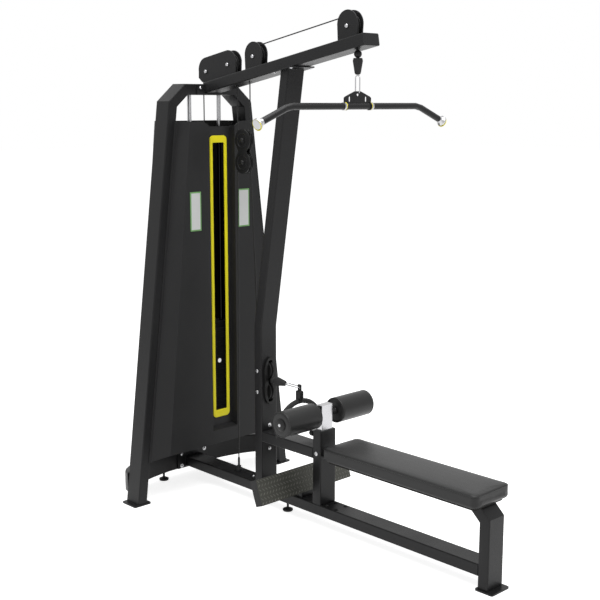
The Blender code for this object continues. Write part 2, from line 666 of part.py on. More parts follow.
def build_stack():
    """Plates on guide rods: those under the pin stay, those over it rise with the stem's pin."""
    seat_high = STACK_SEAT_Z0 + STACK_SEAT
    half_y = leg_in(seat_high) - GAP
    block("stack_seat", (TOWER_BACK + SEAT_MARGIN, -half_y, STACK_SEAT_Z0),
          (TOWER_FRONT - SEAT_MARGIN, half_y, seat_high), POWDER)
    for y, tag in ((-ROD_SPREAD, "near"), (ROD_SPREAD, "far")):
        turned("guide_rod_" + tag, [(ROD / 2, seat_high + GAP), (ROD / 2, TOWER_HEIGHT - TUBE_THIN - GAP)],
               (STACK_X, y, 0.0), (0, 0, 1), CHROME, ROD_SIDES)
    pad_low = seat_high + GAP
    pad = block("stack_bumper", (STACK_X - BUMPER / 2, -ROD_SPREAD - BUMPER / 2, pad_low),
                (STACK_X + BUMPER / 2, ROD_SPREAD + BUMPER / 2, pad_low + BUMPER_HIGH), RUBBER, 0.020)
    for y in (-ROD_SPREAD, ROD_SPREAD):
        drill(pad, (STACK_X, y, pad_low - 0.01), (STACK_X, y, pad_low + 0.05), ROD + 2 * GAP, ROD_SIDES)
    resting = publish("plates_resting", grooved_stack(PLATES_RESTING, STACK_FLOOR), IRON)
    bore_stack(resting, STACK_FLOOR, SPLIT_Z)
    pile = grooved_stack(PLATES_LIFTED, SPLIT_Z + GAP)
    lifted = publish("plates_lifted", pile, IRON, (STACK_X, 0, SPLIT_Z))
    cap_x = STACK_DEEP / 2 - TOP_BLOCK_INSET
    cap_y = STACK_WIDE / 2 - TOP_BLOCK_INSET
    weld(lifted, block("stack_top_block", (STACK_X - cap_x, -cap_y, STACK_TOP - 0.004),
                       (STACK_X + cap_x, cap_y, STACK_TOP + TOP_BLOCK_HIGH), IRON, 0.010))
    bore_stack(lifted, SPLIT_Z, STACK_TOP + TOP_BLOCK_HIGH)
    pin_z = SPLIT_Z + GAP + PLATE_HIGH / 2
    pin_start = (STACK_X + STEM / 2 + 0.004, 0, pin_z)
    drill(lifted, pin_start, (STACK_X + STACK_DEEP, 0, pin_z), PIN_HOLE, 12)
    turned("selector_stem", [(STEM / 2, 0.0), (STEM / 2, STEM_TOP - 0.028 - STACK_FLOOR),
                             (0.008, STEM_TOP - 0.018 - STACK_FLOOR), (0.008, STEM_TOP - STACK_FLOOR)],
           (STACK_X, 0, STACK_FLOOR), (0, 0, 1), IRON, 16)
    shaft = STACK_DEEP / 2 + 0.012
    profile = [(PIN / 2, 0.0), (PIN / 2, shaft), (0.011, shaft + 0.001), (0.014, shaft + 0.012),
               (0.012, shaft + 0.020)]
    turned("selector_pin", profile,
           (STACK_X + STEM / 2 + 0.006, 0, pin_z), (1, 0, 0), CHROME, 16)


def shell_grid(columns, rows_of, skip=()):
    """Sheet from columns of points; rows_of gives each column's heights; skip leaves out a cell."""
    bm = bmesh.new()
    grid = []
    for number, column in enumerate(columns):
        grid.append([bm.verts.new(column(z)) for z in rows_of(number)])
    for c, (left, right) in enumerate(zip(grid, grid[1:])):
        for r in range(len(left) - 1):
            if (c, r) not in skip:
                bm.faces.new((left[r], right[r], right[r + 1], left[r + 1]))
    return bm


def sheet_piece(name, bm, material, inward):
    """Give a folded sheet its thickness."""
    bmesh.ops.recalc_face_normals(bm, faces=bm.faces)
    mesh = bpy.data.meshes.new(name)
    bm.to_mesh(mesh)
    bm.free()
    mesh.materials.append(material)
    made = bpy.data.objects.new(name, mesh)
    bpy.context.scene.collection.objects.link(made)
    made.location = (SHIFT_X, 0.0, 0.0)
    wall = made.modifiers.new("wall", "SOLIDIFY")
    wall.thickness = SHEET
    wall.offset = inward
    wall.use_even_offset = True
    return made


def fold_y(z):
    """Half width of the front face's fold at a height."""
    part = (SHROUD_TOP - z) / (SHROUD_TOP - SHROUD_BOTTOM)
    return FOLD_TOP + (FOLD_BOTTOM - FOLD_TOP) * part


def build_shroud():
    """Front shell with a recessed channel and window, and a rear shell, both fixed to the legs."""
    face = TOWER_FRONT + GAP + SHEET
    lap = SHROUD_LAP

    def mirrored(right):
        left = [lambda z, f=f: Vector((f(z).x, -f(z).y, z)) for f in reversed(right)]
        return left + right

    def channel_x(z):
        return CHANNEL_FRONT if z > APRON_TOP else SHROUD_FRONT

    right = [lambda z: Vector((channel_x(z), WINDOW_HALF, z)),
             lambda z: Vector((channel_x(z), CHANNEL_HALF, z)),
             lambda z: Vector((SHROUD_FRONT, CHANNEL_HALF + 0.004, z)),
             lambda z: Vector((SHROUD_FRONT, CHANNEL_HALF + NOTCH, z)),
             lambda z: Vector((SHROUD_FRONT, fold_y(z), z)),
             lambda z: Vector((face, leg_in(z) - 0.004, z)),
             lambda z: Vector((face, leg_in(z) + lap, z))]
    columns = mirrored(right)
    tops = [CHANNEL_TOP, CHANNEL_TOP, CHANNEL_TOP + 0.006, SHROUD_TOP, SHROUD_TOP, SHROUD_TOP, SHROUD_TOP]
    tops = list(reversed(tops)) + tops
    hems = [SHROUD_BOTTOM] * (len(right) - 2) + [SHROUD_HEM] * 2
    hems = list(reversed(hems)) + hems

    def heights(number):
        return [hems[number], APRON_TOP, APRON_TOP + APRON_SLOPE, WINDOW_Z0, WINDOW_Z1, tops[number]]

    window = {(len(right) - 1, 3)}
    sheet_piece("shroud_front", shell_grid(columns, heights, window), SHROUD_COAT, -1.0)
    back = TOWER_BACK - GAP - SHEET
    rear = [lambda z: Vector((REAR_SHROUD_X, CHANNEL_HALF, z)),
            lambda z: Vector((REAR_SHROUD_X, fold_y(z), z)),
            lambda z: Vector((back, leg_in(z) - 0.004, z)),
            lambda z: Vector((back, leg_in(z) + lap, z))]
    sheet_piece("shroud_rear", shell_grid(mirrored(rear), lambda n: [REAR_SHROUD_BOTTOM, SHROUD_TOP]),
                SHROUD_COAT, -1.0)
    build_bezel()


def build_bezel():
    """Yellow moulded frame round the window."""
    middle = (BEZEL_Z0 + BEZEL_Z1) / 2
    high = (BEZEL_Z1 - BEZEL_Z0) / 2
    place = Matrix.Translation((CHANNEL_FRONT + GAP, 0, middle)) @ Matrix(
        ((0, 0, 1, 0), (1, 0, 0, 0), (0, 1, 0, 0), (0, 0, 0, 1)))
    outer = slab(rounded_rect(BEZEL_HALF, high, BEZEL_CORNER, 4), BEZEL_THICK, place)
    bezel = publish("window_bezel", outer, YELLOW, smooth=35)
    opening = high - (BEZEL_BAR_TOP + BEZEL_BAR_BOTTOM) / 2
    rise = (BEZEL_BAR_BOTTOM - BEZEL_BAR_TOP) / 2
    deep = place @ Matrix.Translation((0, rise, -0.02))
    cut(bezel, cutter("bezel_opening", slab(rounded_rect(BEZEL_OPEN, opening, 0.004, 2), 0.05, deep)))


def build_seat():
    """Seat post, upper rail, seat plate, board and the padded seat."""
    post = tube_post()
    tube_bar("upper_rail", ((MAST_FRONT + GAP, 0, UPPER_RAIL_TOP - TUBE_THIN / 2),
                            (SEAT_POST_X0 - GAP, 0, UPPER_RAIL_TOP - TUBE_THIN / 2)), (0, 1, 0), TUBE_WIDE)
    board_low = SEAT_UNDER + SEAT_PLATE + GAP
    block("seat_board", (SEAT_X0 + BOARD_INSET, -SEAT_HALF + BOARD_INSET, board_low),
          (SEAT_X1 - BOARD_INSET, SEAT_HALF - BOARD_INSET, board_low + BOARD_THICK), WOOD, 0.020)
    cushion("seat_pad", board_low + BOARD_THICK + GAP)
    return post


def cushion(name, low):
    """Upholstered pad: crowned top, sides drawn in between the corners."""
    bm = bmesh.new()
    high = SEAT_TOP
    crown = 0.003
    pull = 0.002
    half_x = (SEAT_X1 - SEAT_X0) / 2
    centre_x = (SEAT_X0 + SEAT_X1) / 2
    edge = high - crown
    levels = ((low, 0.006), (low + 0.010, 0.000), (edge - 0.006, 0.000), (edge - 0.002, 0.002),
              (edge, 0.006), (high - crown * 0.55, 0.030), (high - crown * 0.2, 0.062), (high, 0.100))
    rings = []
    for z, inset in levels:
        outline = []
        corner = max(0.028 - inset * 0.2, 0.012)
        for x, y in side_points(half_x - inset, SEAT_HALF - inset, corner):
            draw_x = pull * (1 - (y / SEAT_HALF) ** 2)
            draw_y = pull * (1 - (x / half_x) ** 2)
            outline.append((centre_x + x - draw_x * (x / half_x), y - draw_y * (y / SEAT_HALF), z))
        rings.append(outline)
    loft(bm, rings)
    return publish(name, bm, VINYL, smooth=50)


def side_points(half_u, half_v, radius, steps=4):
    """Rounded rectangle with extra points along its sides."""
    corners = rounded_rect(half_u, half_v, radius, steps)
    points = []
    for i, (u, v) in enumerate(corners):
        points.append((u, v))
        corner, place = divmod(i, steps + 1)
        if place == steps:
            nu, nv = corners[(i + 1) % len(corners)]
            parts = 6 if corner % 2 == 0 else 3
            points += [(u + (nu - u) * k / parts, v + (nv - v) * k / parts) for k in range(1, parts)]
    return points


def tube_post():
    """Seat post open at the top, where the roller post slides in."""
    deep = SEAT_POST_X1 - SEAT_POST_X0
    outline = rounded_rect(deep / 2, TUBE_WIDE / 2, TUBE_CORNER)
    place = Matrix.Translation((SEAT_POST_X, 0, BASE_TOP + GAP))
    post = publish("seat_post", slab(outline, SEAT_POST_TOP - BASE_TOP - GAP, place), POWDER, smooth=35)
    well = slab(rounded_rect(INNER_POST_X / 2 + GAP, INNER_POST_Y / 2 + GAP, 0.002), 0.5,
                Matrix.Translation((SEAT_POST_X, 0, INNER_POST_LOW - 0.010)))
    cut(post, cutter("seat_post_well", well))
    knob_z = SEAT_POST_TOP - LATCH_DROP
    drill(post, (SEAT_POST_X0 - 0.01, 0, knob_z), (SEAT_POST_X, 0, knob_z), 0.0092, 12)
    reach = (SEAT_POST_X - INNER_POST_X / 2) - SEAT_POST_X0 - 2 * GAP
    profile = [(0.0043, -reach), (0.0043, 0.0005), (0.011, 0.0006), (0.011, 0.024), (0.006, 0.026),
               (0.006, 0.040), (0.0145, 0.044), (0.0145, 0.062), (0.011, 0.068)]
    turned("pop_pin", profile, (SEAT_POST_X0, 0, knob_z), (-1, 0, 0), PLASTIC, 16)
    return post


def build_rollers():
    """Chromed roller post with a cross bar and two foam rollers that turn on it."""
    top = ROLLER_Z + INNER_POST_OVER
    outline = rounded_rect(INNER_POST_X / 2, INNER_POST_Y / 2, 0.003)
    place = Matrix.Translation((SEAT_POST_X, 0, INNER_POST_LOW))
    origin = (SEAT_POST_X, 0, ROLLER_Z)
    post = publish("roller_post", slab(outline, top - INNER_POST_LOW, place), CHROME, origin, 35)
    drill(post, (SEAT_POST_X, -TUBE_WIDE, ROLLER_Z), (SEAT_POST_X, TUBE_WIDE, ROLLER_Z),
          CROSS_BAR + 2 * GAP, 20)
    end = ROLLER_INNER + ROLLER_LONG
    collar = ROLLER_INNER - 0.002
    bore = CROSS_BAR / 2
    lip = bore + COLLAR
    inner = collar - COLLAR
    tip = end + CAP_SEAT
    profile = [(bore, -tip), (bore, -collar), (lip, -collar), (lip, -inner), (bore, -inner),
               (bore, inner), (lip, inner), (lip, collar), (bore, collar), (bore, tip)]
    bar = turned("roller_bar", profile, origin, (0, 1, 0), CHROME, 16)
    for side, tag in ((-1, "near"), (1, "far")):
        foam_roller("roller_" + tag, side)
        profile = [(0.030, 0.0), (0.030, 0.003), (0.024, 0.007),
                   (0.008, 0.008), (0.008, 0.011), (0.005, 0.013)]
        cap_place = (SEAT_POST_X, side * (end + GAP), ROLLER_Z)
        weld(bar, turned("roller_cap_" + tag, profile, cap_place, (0, side, 0), PLASTIC, 16))


def foam_roller(name, side):
    """Foam roller with a vinyl cover, softly crowned and drawn in at both ends."""
    radius = ROLLER / 2
    bore = CROSS_BAR / 2 + GAP
    half = ROLLER_LONG / 2
    shape = [(0.0, 0.80), (0.001, 0.93), (0.004, 0.98), (0.009, 0.995), (0.070, 1.0)]
    profile = [(bore, -half)]
    profile += [(radius * share, -half + along) for along, share in shape]
    profile += [(radius * share, half - along) for along, share in reversed(shape)]
    profile += [(bore, half), (bore, -half)]
    turned(name, profile, (SEAT_POST_X, side * (ROLLER_INNER + half), ROLLER_Z), (0, 1, 0), VINYL, 24, 50)


def build_footrest():
    """Folded tread plate across the base tube, leaning back from the feet."""
    up = Vector((-sin(TREAD_TILT), 0, cos(TREAD_TILT)))
    out = Vector((cos(TREAD_TILT), 0, sin(TREAD_TILT)))
    low = Vector((TREAD_X, 0, TREAD_Z0))
    turn = Matrix.Translation(low) @ Matrix((
        (0, up.x, out.x, 0), (1, 0, 0, 0), (0, up.z, out.z, 0), (0, 0, 0, 1)))
    bm = bmesh.new()
    half = TREAD_HALF
    profile = [(-half, -TREAD_FLANGE), (-half, 0.0), (half, 0.0), (half, -TREAD_FLANGE),
               (half - TREAD_THICK, -TREAD_FLANGE), (half - TREAD_THICK, -TREAD_THICK),
               (-half + TREAD_THICK, -TREAD_THICK), (-half + TREAD_THICK, -TREAD_FLANGE)]
    rings = [[turn @ Vector((y, h, w)) for y, w in profile] for h in (0.0, TREAD_HIGH)]
    loft(bm, rings)
    publish("footrest_plate", bm, TREAD)
    behind = low - out * (TREAD_THICK + GAP)
    lean = TREAD_TILT
    foot_z = BASE_TOP + GAP
    high = behind + up * (TREAD_HIGH * 0.75)
    start = behind + up * 0.004
    outline = [(start.x, start.z), (high.x, high.z), (high.x - 0.014, high.z - 0.004 * cos(lean)),
               (high.x - 0.050, foot_z), (start.x, foot_z)]
    publish("footrest_bracket", slab(outline, 0.080, standing(-0.040)), POWDER)


def build_outlet():
    """Figure-eight outlet frame on the mast and its two pulleys on bolts."""
    outline = []
    half = (ROW_UPPER_Z - ROW_LOWER_Z) / 2 + 0.022
    for k in range(36):
        a = 2 * pi * k / 36
        waist = 1.0 - 0.22 * cos(a) ** 8
        outline.append((OUTLET_HALF * cos(a) * waist, (half + 0.046) * sin(a)))
    place = Matrix.Translation((MAST_FRONT + GAP, 0, ROW_MIDDLE_Z)) @ Matrix(
        ((0, 0, 1, 0), (1, 0, 0, 0), (0, 1, 0, 0), (0, 0, 0, 1)))
    frame = publish("row_outlet", slab(outline, OUTLET_THICK, place), PLASTIC, smooth=40)
    through = place @ Matrix.Translation((0, 0, -0.02))
    hole = slab(rounded_rect(OUTLET_SLOT / 2 - 0.001, half + 0.031, 0.010, 3), 0.05, through)
    cut(frame, cutter("row_outlet_hole", hole))
    for tag, z in (("upper", ROW_UPPER_Z), ("lower", ROW_LOWER_Z)):
        pulley("row_pulley_" + tag, MAST_X, z)
        axle_bolt("row_axle_" + tag, MAST_X, z, TUBE_WIDE / 2)
        drill(bpy.data.objects["mast"], (MAST_X, -0.1, z), (MAST_X, 0.1, z), AXLE + 2 * GAP)


def stop_and_hook(tag, start, along):
    """Ball stop, tapered rubber sleeve and sprung hook in one line on the end of a cable."""
    run = Vector(along)
    ball = BALL / 2
    sleeve = [(0.006, ball * 0.94), (0.020, ball * 0.98), (0.023, ball + 0.012), (0.014, ball + 0.066),
              (0.009, ball + 0.072)]
    half_turn = [(ball * sin(a), -ball * cos(a)) for a in (BALL_ANGLE, 0.7, 1.15, 1.6, 2.05, 2.5, 2.8)]
    profile = half_turn + [(r, h) for r, h in sleeve if h > ball * 0.95]
    turned(tag + "_stop", profile, start, along, RUBBER, 16, 50)
    return Vector(start) + run * (ball + 0.072 + GAP)


def hook(name, start, along, side, length):
    """Wire snap hook: an oval loop of round steel wire."""
    run, across = Vector(along), Vector(side)
    wire = HOOK_WIRE / 2
    wide = 0.013
    straight = length / 2 - wide - wire
    centre = Vector(start) + run * (length / 2)
    path = []
    steps = 10
    for k in range(steps + 1):
        a = -pi / 2 + pi * k / steps
        path.append(centre + run * (straight + wide * cos(a)) + across * (wide * sin(a)))
    for k in range(steps + 1):
        a = pi / 2 + pi * k / steps
        path.append(centre + run * (-straight + wide * cos(a)) + across * (wide * sin(a)))
    return ring_tube(name, path, run.cross(across), wire, CHROME, start)


def ring_tube(name, path, normal, radius, material, origin, sides=8):
    """Closed tube along a planar loop."""
    bm = bmesh.new()
    normal = Vector(normal).normalized()
    loops = []
    count = len(path)
    for i, point in enumerate(path):
        run = (path[(i + 1) % count] - path[i - 1]).normalized()
        out = run.cross(normal)
        turns = [2 * pi * k / sides for k in range(sides)]
        loops.append([bm.verts.new(point + (out * cos(a) + normal * sin(a)) * radius) for a in turns])
    for i in range(count):
        for k in range(sides):
            n = (k + 1) % sides
            bm.faces.new((loops[i][k], loops[i][n], loops[(i + 1) % count][n], loops[(i + 1) % count][k]))
    return publish(name, bm, material, origin, 60)


def build_lat_bar():
    """Bent pull bar with a hanger plate, end caps, and the stop and hook on its cable."""
    under = beam_under(BAR_X)
    start = (BAR_X, 0, under - BALL / 2 - BALL_DROP)
    hook_start = stop_and_hook("lat", start, (0, 0, -1))
    hook("lat_hook", hook_start, (0, 0, -1), (1, 0, 0), hook_start.z - HANGER_TOP + HOOK_WIRE + 3 * GAP)
    path = [(BAR_X, -BAR_END, BAR_Z - BAR_DROP), (BAR_X, -BAR_STRAIGHT - 0.02, BAR_Z - 0.008),
            (BAR_X, -BAR_STRAIGHT + 0.02, BAR_Z), (BAR_X, BAR_STRAIGHT - 0.02, BAR_Z),
            (BAR_X, BAR_STRAIGHT + 0.02, BAR_Z - 0.008), (BAR_X, BAR_END, BAR_Z - BAR_DROP)]
    section = [(BAR / 2 * cos(2 * pi * k / 16), BAR / 2 * sin(2 * pi * k / 16)) for k in range(16)]
    pivot = (BAR_X, 0, HANGER_TOP)
    bar = publish("lat_bar", swept(section, path, (1, 0, 0)), POWDER, pivot, 40)
    low = BAR_Z + BAR / 2
    shoulder = low + HANGER_SHOULDER
    right = [(HANGER_HALF, BAR_Z), (HANGER_HALF, shoulder), (HANGER_HALF - 0.008, shoulder + 0.006),
             (0.018, HANGER_TOP + 0.006)]
    outline = right + [(-y, z) for y, z in reversed(right)]
    place = Matrix.Translation((BAR_X - 0.003, 0, 0)) @ Matrix(
        ((0, 0, 1, 0), (1, 0, 0, 0), (0, 1, 0, 0), (0, 0, 0, 1)))
    hanger = publish("lat_hanger", slab(outline, 0.006, place), POWDER, pivot)
    drill(hanger, (BAR_X - 0.02, 0, HANGER_TOP - 0.008), (BAR_X + 0.02, 0, HANGER_TOP - 0.008), 0.016)
    for tag, y in (("near", -HANGER_SLOT_Y), ("far", HANGER_SLOT_Y)):
        slot = slab(rounded_rect(0.006, 0.012, 0.005, 3), 0.04,
                    place @ Matrix.Translation((y, low + 0.016, -0.017)))
        cut(hanger, cutter("hanger_slot_" + tag, slot))
    weld(bar, hanger)
    run = Vector((0, BAR_END - BAR_STRAIGHT - 0.02, -BAR_DROP + 0.008)).normalized()
    for side, tag in ((-1, "near"), (1, "far")):
        axis = Vector((0, side * run.y, run.z))
        end = Vector((BAR_X, side * BAR_END, BAR_Z - BAR_DROP)) + axis * GAP
        profile = [(BAR / 2, 0.0), (BAR / 2, 0.010), (CAP / 2, CAP_LONG * 0.6), (CAP / 2, CAP_LONG - 0.004),
                   (CAP / 2 - 0.004, CAP_LONG)]
        turned("bar_cap_" + tag, profile, end, axis, CHROME, 16)


def build_row_handle():
    """Ball, sleeve and hook of the row cable, and the stirrup handle that hangs from them."""
    start = (ROW_BALL_X, 0, ROW_Z)
    hook_start = stop_and_hook("row", start, (1, 0, 0))
    hook("row_hook", hook_start, (1, 0, 0), (0, 1, 0), ROW_X + HOOK_WIRE / 2 - hook_start.x)
    centre = Vector((ROW_X, 0, HANDLE_TOP_Z - HANDLE_RADIUS))
    pivot = (ROW_X, 0, ROW_Z)
    path = []
    for k in range(21):
        a = pi * k / 20
        path.append(centre + Vector((0, HANDLE_RADIUS * cos(a), HANDLE_RADIUS * sin(a))))
    path += [centre + Vector((0, -HANDLE_RADIUS * (1 - k / 4), 0)) for k in range(1, 8)]
    handle = ring_tube("row_handle", path, (1, 0, 0), HANDLE_TUBE / 2, RUBBER, pivot, 10)
    strap = block("row_swivel", (ROW_X - 0.011, -0.005, HANDLE_TOP_Z),
                  (ROW_X + 0.011, 0.005, ROW_Z + 0.014), POWDER, 0.003)
    hole = 0.0135
    drop = (hole * cos(pi / 12) - HOOK_WIRE) / 2 - 3 * GAP
    drill(strap, (ROW_X, -0.05, ROW_Z - drop), (ROW_X, 0.05, ROW_Z - drop), hole)
    weld(handle, strap)


def cable_piece(name, points, origin=(0.0, 0.0, 0.0)):
    """Steel rope along its route, as a round bevelled curve with closed ends."""
    curve = bpy.data.curves.new(name, "CURVE")
    curve.dimensions = "3D"
    curve.bevel_depth = CABLE / 2
    curve.bevel_resolution = 2
    curve.use_fill_caps = True
    line = curve.splines.new("POLY")
    line.points.add(len(points) - 1)
    for knot, point in zip(line.points, points):
        knot.co = (*(Vector(point) - Vector(origin)), 1.0)
    curve.materials.append(STEEL_ROPE)
    made = bpy.data.objects.new(name, curve)
    bpy.context.scene.collection.objects.link(made)
    made.location = Vector(origin) + Vector((SHIFT_X, 0.0, 0.0))
    return made


def wrap(x, z, start, end, steps=9):
    """Points of the cable round a pulley, between two angles in degrees."""
    points = []
    for k in range(steps + 1):
        a = radians(start + (end - start) * k / steps)
        points.append((x + PULLEY_GROOVE * cos(a), 0.0, z + PULLEY_GROOVE * sin(a)))
    return points


def build_cables():
    """Lat cable from the stem to the bar, and row cable from the base anchor to the handle."""
    rear, second = axle_points((PULLEY_REAR_X, PULLEY_SECOND_X))
    middle, front = axle_points((PULLEY_MID_X, PULLEY_FRONT_X))
    slope = BEAM_ANGLE * 180 / pi
    over = wrap(rear[0], rear[1], 180, 90 + slope) + wrap(second[0], second[1], 90 + slope, 0)
    under = wrap(BLOCK_X, BLOCK_UPPER_Z, 180, 360, 18)
    ahead = wrap(middle[0], middle[1], 180, 90 + slope) + wrap(front[0], front[1], 90 + slope, 0)
    ball_top = beam_under(BAR_X) - BALL / 2 - BALL_DROP + BALL_FLAT
    ends = [(STACK_X, 0, STEM_TOP + GAP), (BAR_X, 0, ball_top + GAP)]
    cable_piece("lat_cable", ends[:1] + over + under + ahead + ends[1:])
    anchor_top = BASE_TOP + ANCHOR_HIGH
    loop = wrap(BLOCK_X, BLOCK_LOWER_Z, 180, 0, 18)
    entry = wrap(MAST_X, ROW_UPPER_Z, 180, 270)
    cable_piece("row_cable", [(ANCHOR_X, 0, anchor_top + GAP)] + loop + entry
                + [(ROW_BALL_X - BALL_FLAT - GAP, 0, ROW_Z)])
    turned("cable_anchor", [(0.020, 0.0), (0.020, 0.016), (0.012, 0.018), (0.012, 0.030), (0.006, 0.032),
                            (0.006, anchor_top - BASE_TOP - GAP)],
           (ANCHOR_X, 0, BASE_TOP + GAP), (0, 0, 1), IRON, 16)


build_tower()
build_base()
build_mast()
build_brackets()
build_block()
build_stack()
build_shroud()
build_seat()
build_rollers()
build_footrest()
build_outlet()
build_lat_bar()
build_row_handle()
build_cables()
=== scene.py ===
"""Looks of the lat pulldown and low row machine: finishes, cushions, cables, bolts and studio."""
from math import cos, pi, radians, sin

import bmesh
import bpy
from mathutils import Matrix, Vector


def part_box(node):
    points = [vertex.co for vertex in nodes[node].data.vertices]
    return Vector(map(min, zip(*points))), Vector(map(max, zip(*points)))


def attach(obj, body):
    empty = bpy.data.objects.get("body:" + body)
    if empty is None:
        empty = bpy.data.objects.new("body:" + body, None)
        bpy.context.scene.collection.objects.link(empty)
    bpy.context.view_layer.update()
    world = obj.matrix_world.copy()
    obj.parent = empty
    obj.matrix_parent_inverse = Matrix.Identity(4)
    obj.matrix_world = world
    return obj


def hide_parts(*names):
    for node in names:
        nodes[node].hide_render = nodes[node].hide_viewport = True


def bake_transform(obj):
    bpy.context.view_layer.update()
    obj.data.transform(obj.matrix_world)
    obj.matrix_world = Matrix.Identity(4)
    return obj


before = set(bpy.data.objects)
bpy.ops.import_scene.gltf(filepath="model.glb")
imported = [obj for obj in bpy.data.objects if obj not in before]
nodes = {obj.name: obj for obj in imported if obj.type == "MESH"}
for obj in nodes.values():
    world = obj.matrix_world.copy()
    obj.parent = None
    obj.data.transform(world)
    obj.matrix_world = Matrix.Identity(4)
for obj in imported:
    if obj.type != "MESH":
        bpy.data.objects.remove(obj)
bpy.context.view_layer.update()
scene = bpy.context.scene
TOWER_X = -0.85575        # where the tower's own zero lies in the frame


# Finishes. One shared group gives a fine grain as a normal and slow cloudiness as a value;
# each finish sets its own colour, gloss and grain on a Principled shader.
grain = bpy.data.node_groups.new("surface_grain", "ShaderNodeTree")
for label in ("Scale", "Depth"):
    grain.interface.new_socket(label, in_out="INPUT", socket_type="NodeSocketFloat")
grain.interface.new_socket("Normal", in_out="OUTPUT", socket_type="NodeSocketVector")
grain.interface.new_socket("Cloud", in_out="OUTPUT", socket_type="NodeSocketFloat")
g_in = grain.nodes.new("NodeGroupInput")
g_out = grain.nodes.new("NodeGroupOutput")
g_place = grain.nodes.new("ShaderNodeTexCoord")
g_fine = grain.nodes.new("ShaderNodeTexNoise")
g_fine.inputs["Detail"].default_value = 3.0
g_slow = grain.nodes.new("ShaderNodeTexNoise")
g_slow.inputs["Scale"].default_value = 5.0
g_bump = grain.nodes.new("ShaderNodeBump")
g_bump.inputs["Distance"].default_value = 0.0006
grain.links.new(g_place.outputs["Object"], g_fine.inputs["Vector"])
grain.links.new(g_place.outputs["Object"], g_slow.inputs["Vector"])
grain.links.new(g_in.outputs["Scale"], g_fine.inputs["Scale"])
grain.links.new(g_in.outputs["Depth"], g_bump.inputs["Strength"])
grain.links.new(g_fine.outputs["Fac"], g_bump.inputs["Height"])
grain.links.new(g_bump.outputs["Normal"], g_out.inputs["Normal"])
grain.links.new(g_slow.outputs["Fac"], g_out.inputs["Cloud"])


def coat(name, color, rough, metal=0.0, scale=900.0, depth=0.15, spread=0.08, shine=0.4):
    """Procedural finish: colour and gloss drift slowly, the surface has a fine grain."""
    made = bpy.data.materials.new(name)
    made.use_nodes = True
    tree = made.node_tree
    shader = tree.nodes["Principled BSDF"]
    shader.inputs["Metallic"].default_value = metal
    shader.inputs["Specular IOR Level"].default_value = shine
    surface = tree.nodes.new("ShaderNodeGroup")
    surface.node_tree = grain
    surface.inputs["Scale"].default_value = scale
    surface.inputs["Depth"].default_value = depth
    tint = tree.nodes.new("ShaderNodeMix")
    tint.data_type = "RGBA"
    tint.inputs[6].default_value = (*[c * 0.88 for c in color], 1.0)
    tint.inputs[7].default_value = (*[min(c * 1.12, 1.0) for c in color], 1.0)
    gloss = tree.nodes.new("ShaderNodeMapRange")
    gloss.inputs["To Min"].default_value = rough - spread
    gloss.inputs["To Max"].default_value = rough + spread
    tree.links.new(surface.outputs["Cloud"], tint.inputs[0])
    tree.links.new(surface.outputs["Cloud"], gloss.inputs["Value"])
    tree.links.new(tint.outputs[2], shader.inputs["Base Color"])
    tree.links.new(gloss.outputs["Result"], shader.inputs["Roughness"])
    tree.links.new(surface.outputs["Normal"], shader.inputs["Normal"])
    return made


powder = coat("powder_coat", (0.013, 0.013, 0.0135), 0.34, depth=0.35, shine=0.17)
shroud_coat = coat("shroud_coat", (0.023, 0.023, 0.0235), 0.40, depth=0.25, shine=0.13)
# painted shade: a near-black colour for the shade inside the shroud
inside = coat("shroud_inside_shade", (0.003, 0.003, 0.003), 0.75, shine=0.2)
yellow = coat("yellow_plastic", (0.86, 0.76, 0.012), 0.40, shine=0.3)
chrome = coat("chrome", (0.46, 0.46, 0.47), 0.20, metal=1.0, depth=0.02, spread=0.04)
plastic = coat("black_plastic", (0.010, 0.010, 0.010), 0.36, shine=0.22)
rubber = coat("black_rubber", (0.012, 0.012, 0.012), 0.62, depth=0.3, shine=0.3)
iron = coat("painted_iron", (0.014, 0.014, 0.015), 0.50, depth=0.5, scale=500.0, shine=0.3)
tread_metal = coat("tread_plate", (0.070, 0.070, 0.060), 0.45, metal=0.5, depth=0.2)
# painted highlight: the tread's own steel made lighter for the light the raised lugs catch
lug_highlight_steel = coat("tread_lug", (0.125, 0.125, 0.110), 0.38, metal=0.7, depth=0.1)
wood = coat("black_stained_ply", (0.014, 0.013, 0.012), 0.70, scale=120.0, depth=0.3, shine=0.2)
vinyl = coat("black_vinyl", (0.015, 0.015, 0.015), 0.37, scale=420.0, depth=0.55, spread=0.05, shine=0.27)
rope = coat("cable_cover", (0.011, 0.011, 0.011), 0.45, shine=0.25)
cap_grey = coat("cap_face", (0.16, 0.16, 0.16), 0.45, metal=0.6)

# Guide rods: two chromed steel rods between the stack's seat and the arch, on which the stack runs. They are
# bright over the shroud; below it their colour is darkened, painted shade of the shroud's inside.
# painted shade: heights over which the rods' colour fades, and the dark tone it fades to
ROD_SHADE_FADE = (1.88, 1.95)
ROD_SHADE_TONE = 0.05
rod_steel = coat("guide_rod_chrome", (0.46, 0.46, 0.47), 0.20, metal=1.0, depth=0.02, spread=0.04)
rod_tree = rod_steel.node_tree
rod_shader = rod_tree.nodes["Principled BSDF"]
rod_tone = rod_shader.inputs["Base Color"].links[0].from_socket
rod_place = rod_tree.nodes.new("ShaderNodeTexCoord")
rod_parts = rod_tree.nodes.new("ShaderNodeSeparateXYZ")
rod_fade = rod_tree.nodes.new("ShaderNodeMapRange")
rod_fade.inputs["From Min"].default_value = ROD_SHADE_FADE[0]
rod_fade.inputs["From Max"].default_value = ROD_SHADE_FADE[1]
rod_fade.inputs["To Min"].default_value = ROD_SHADE_TONE
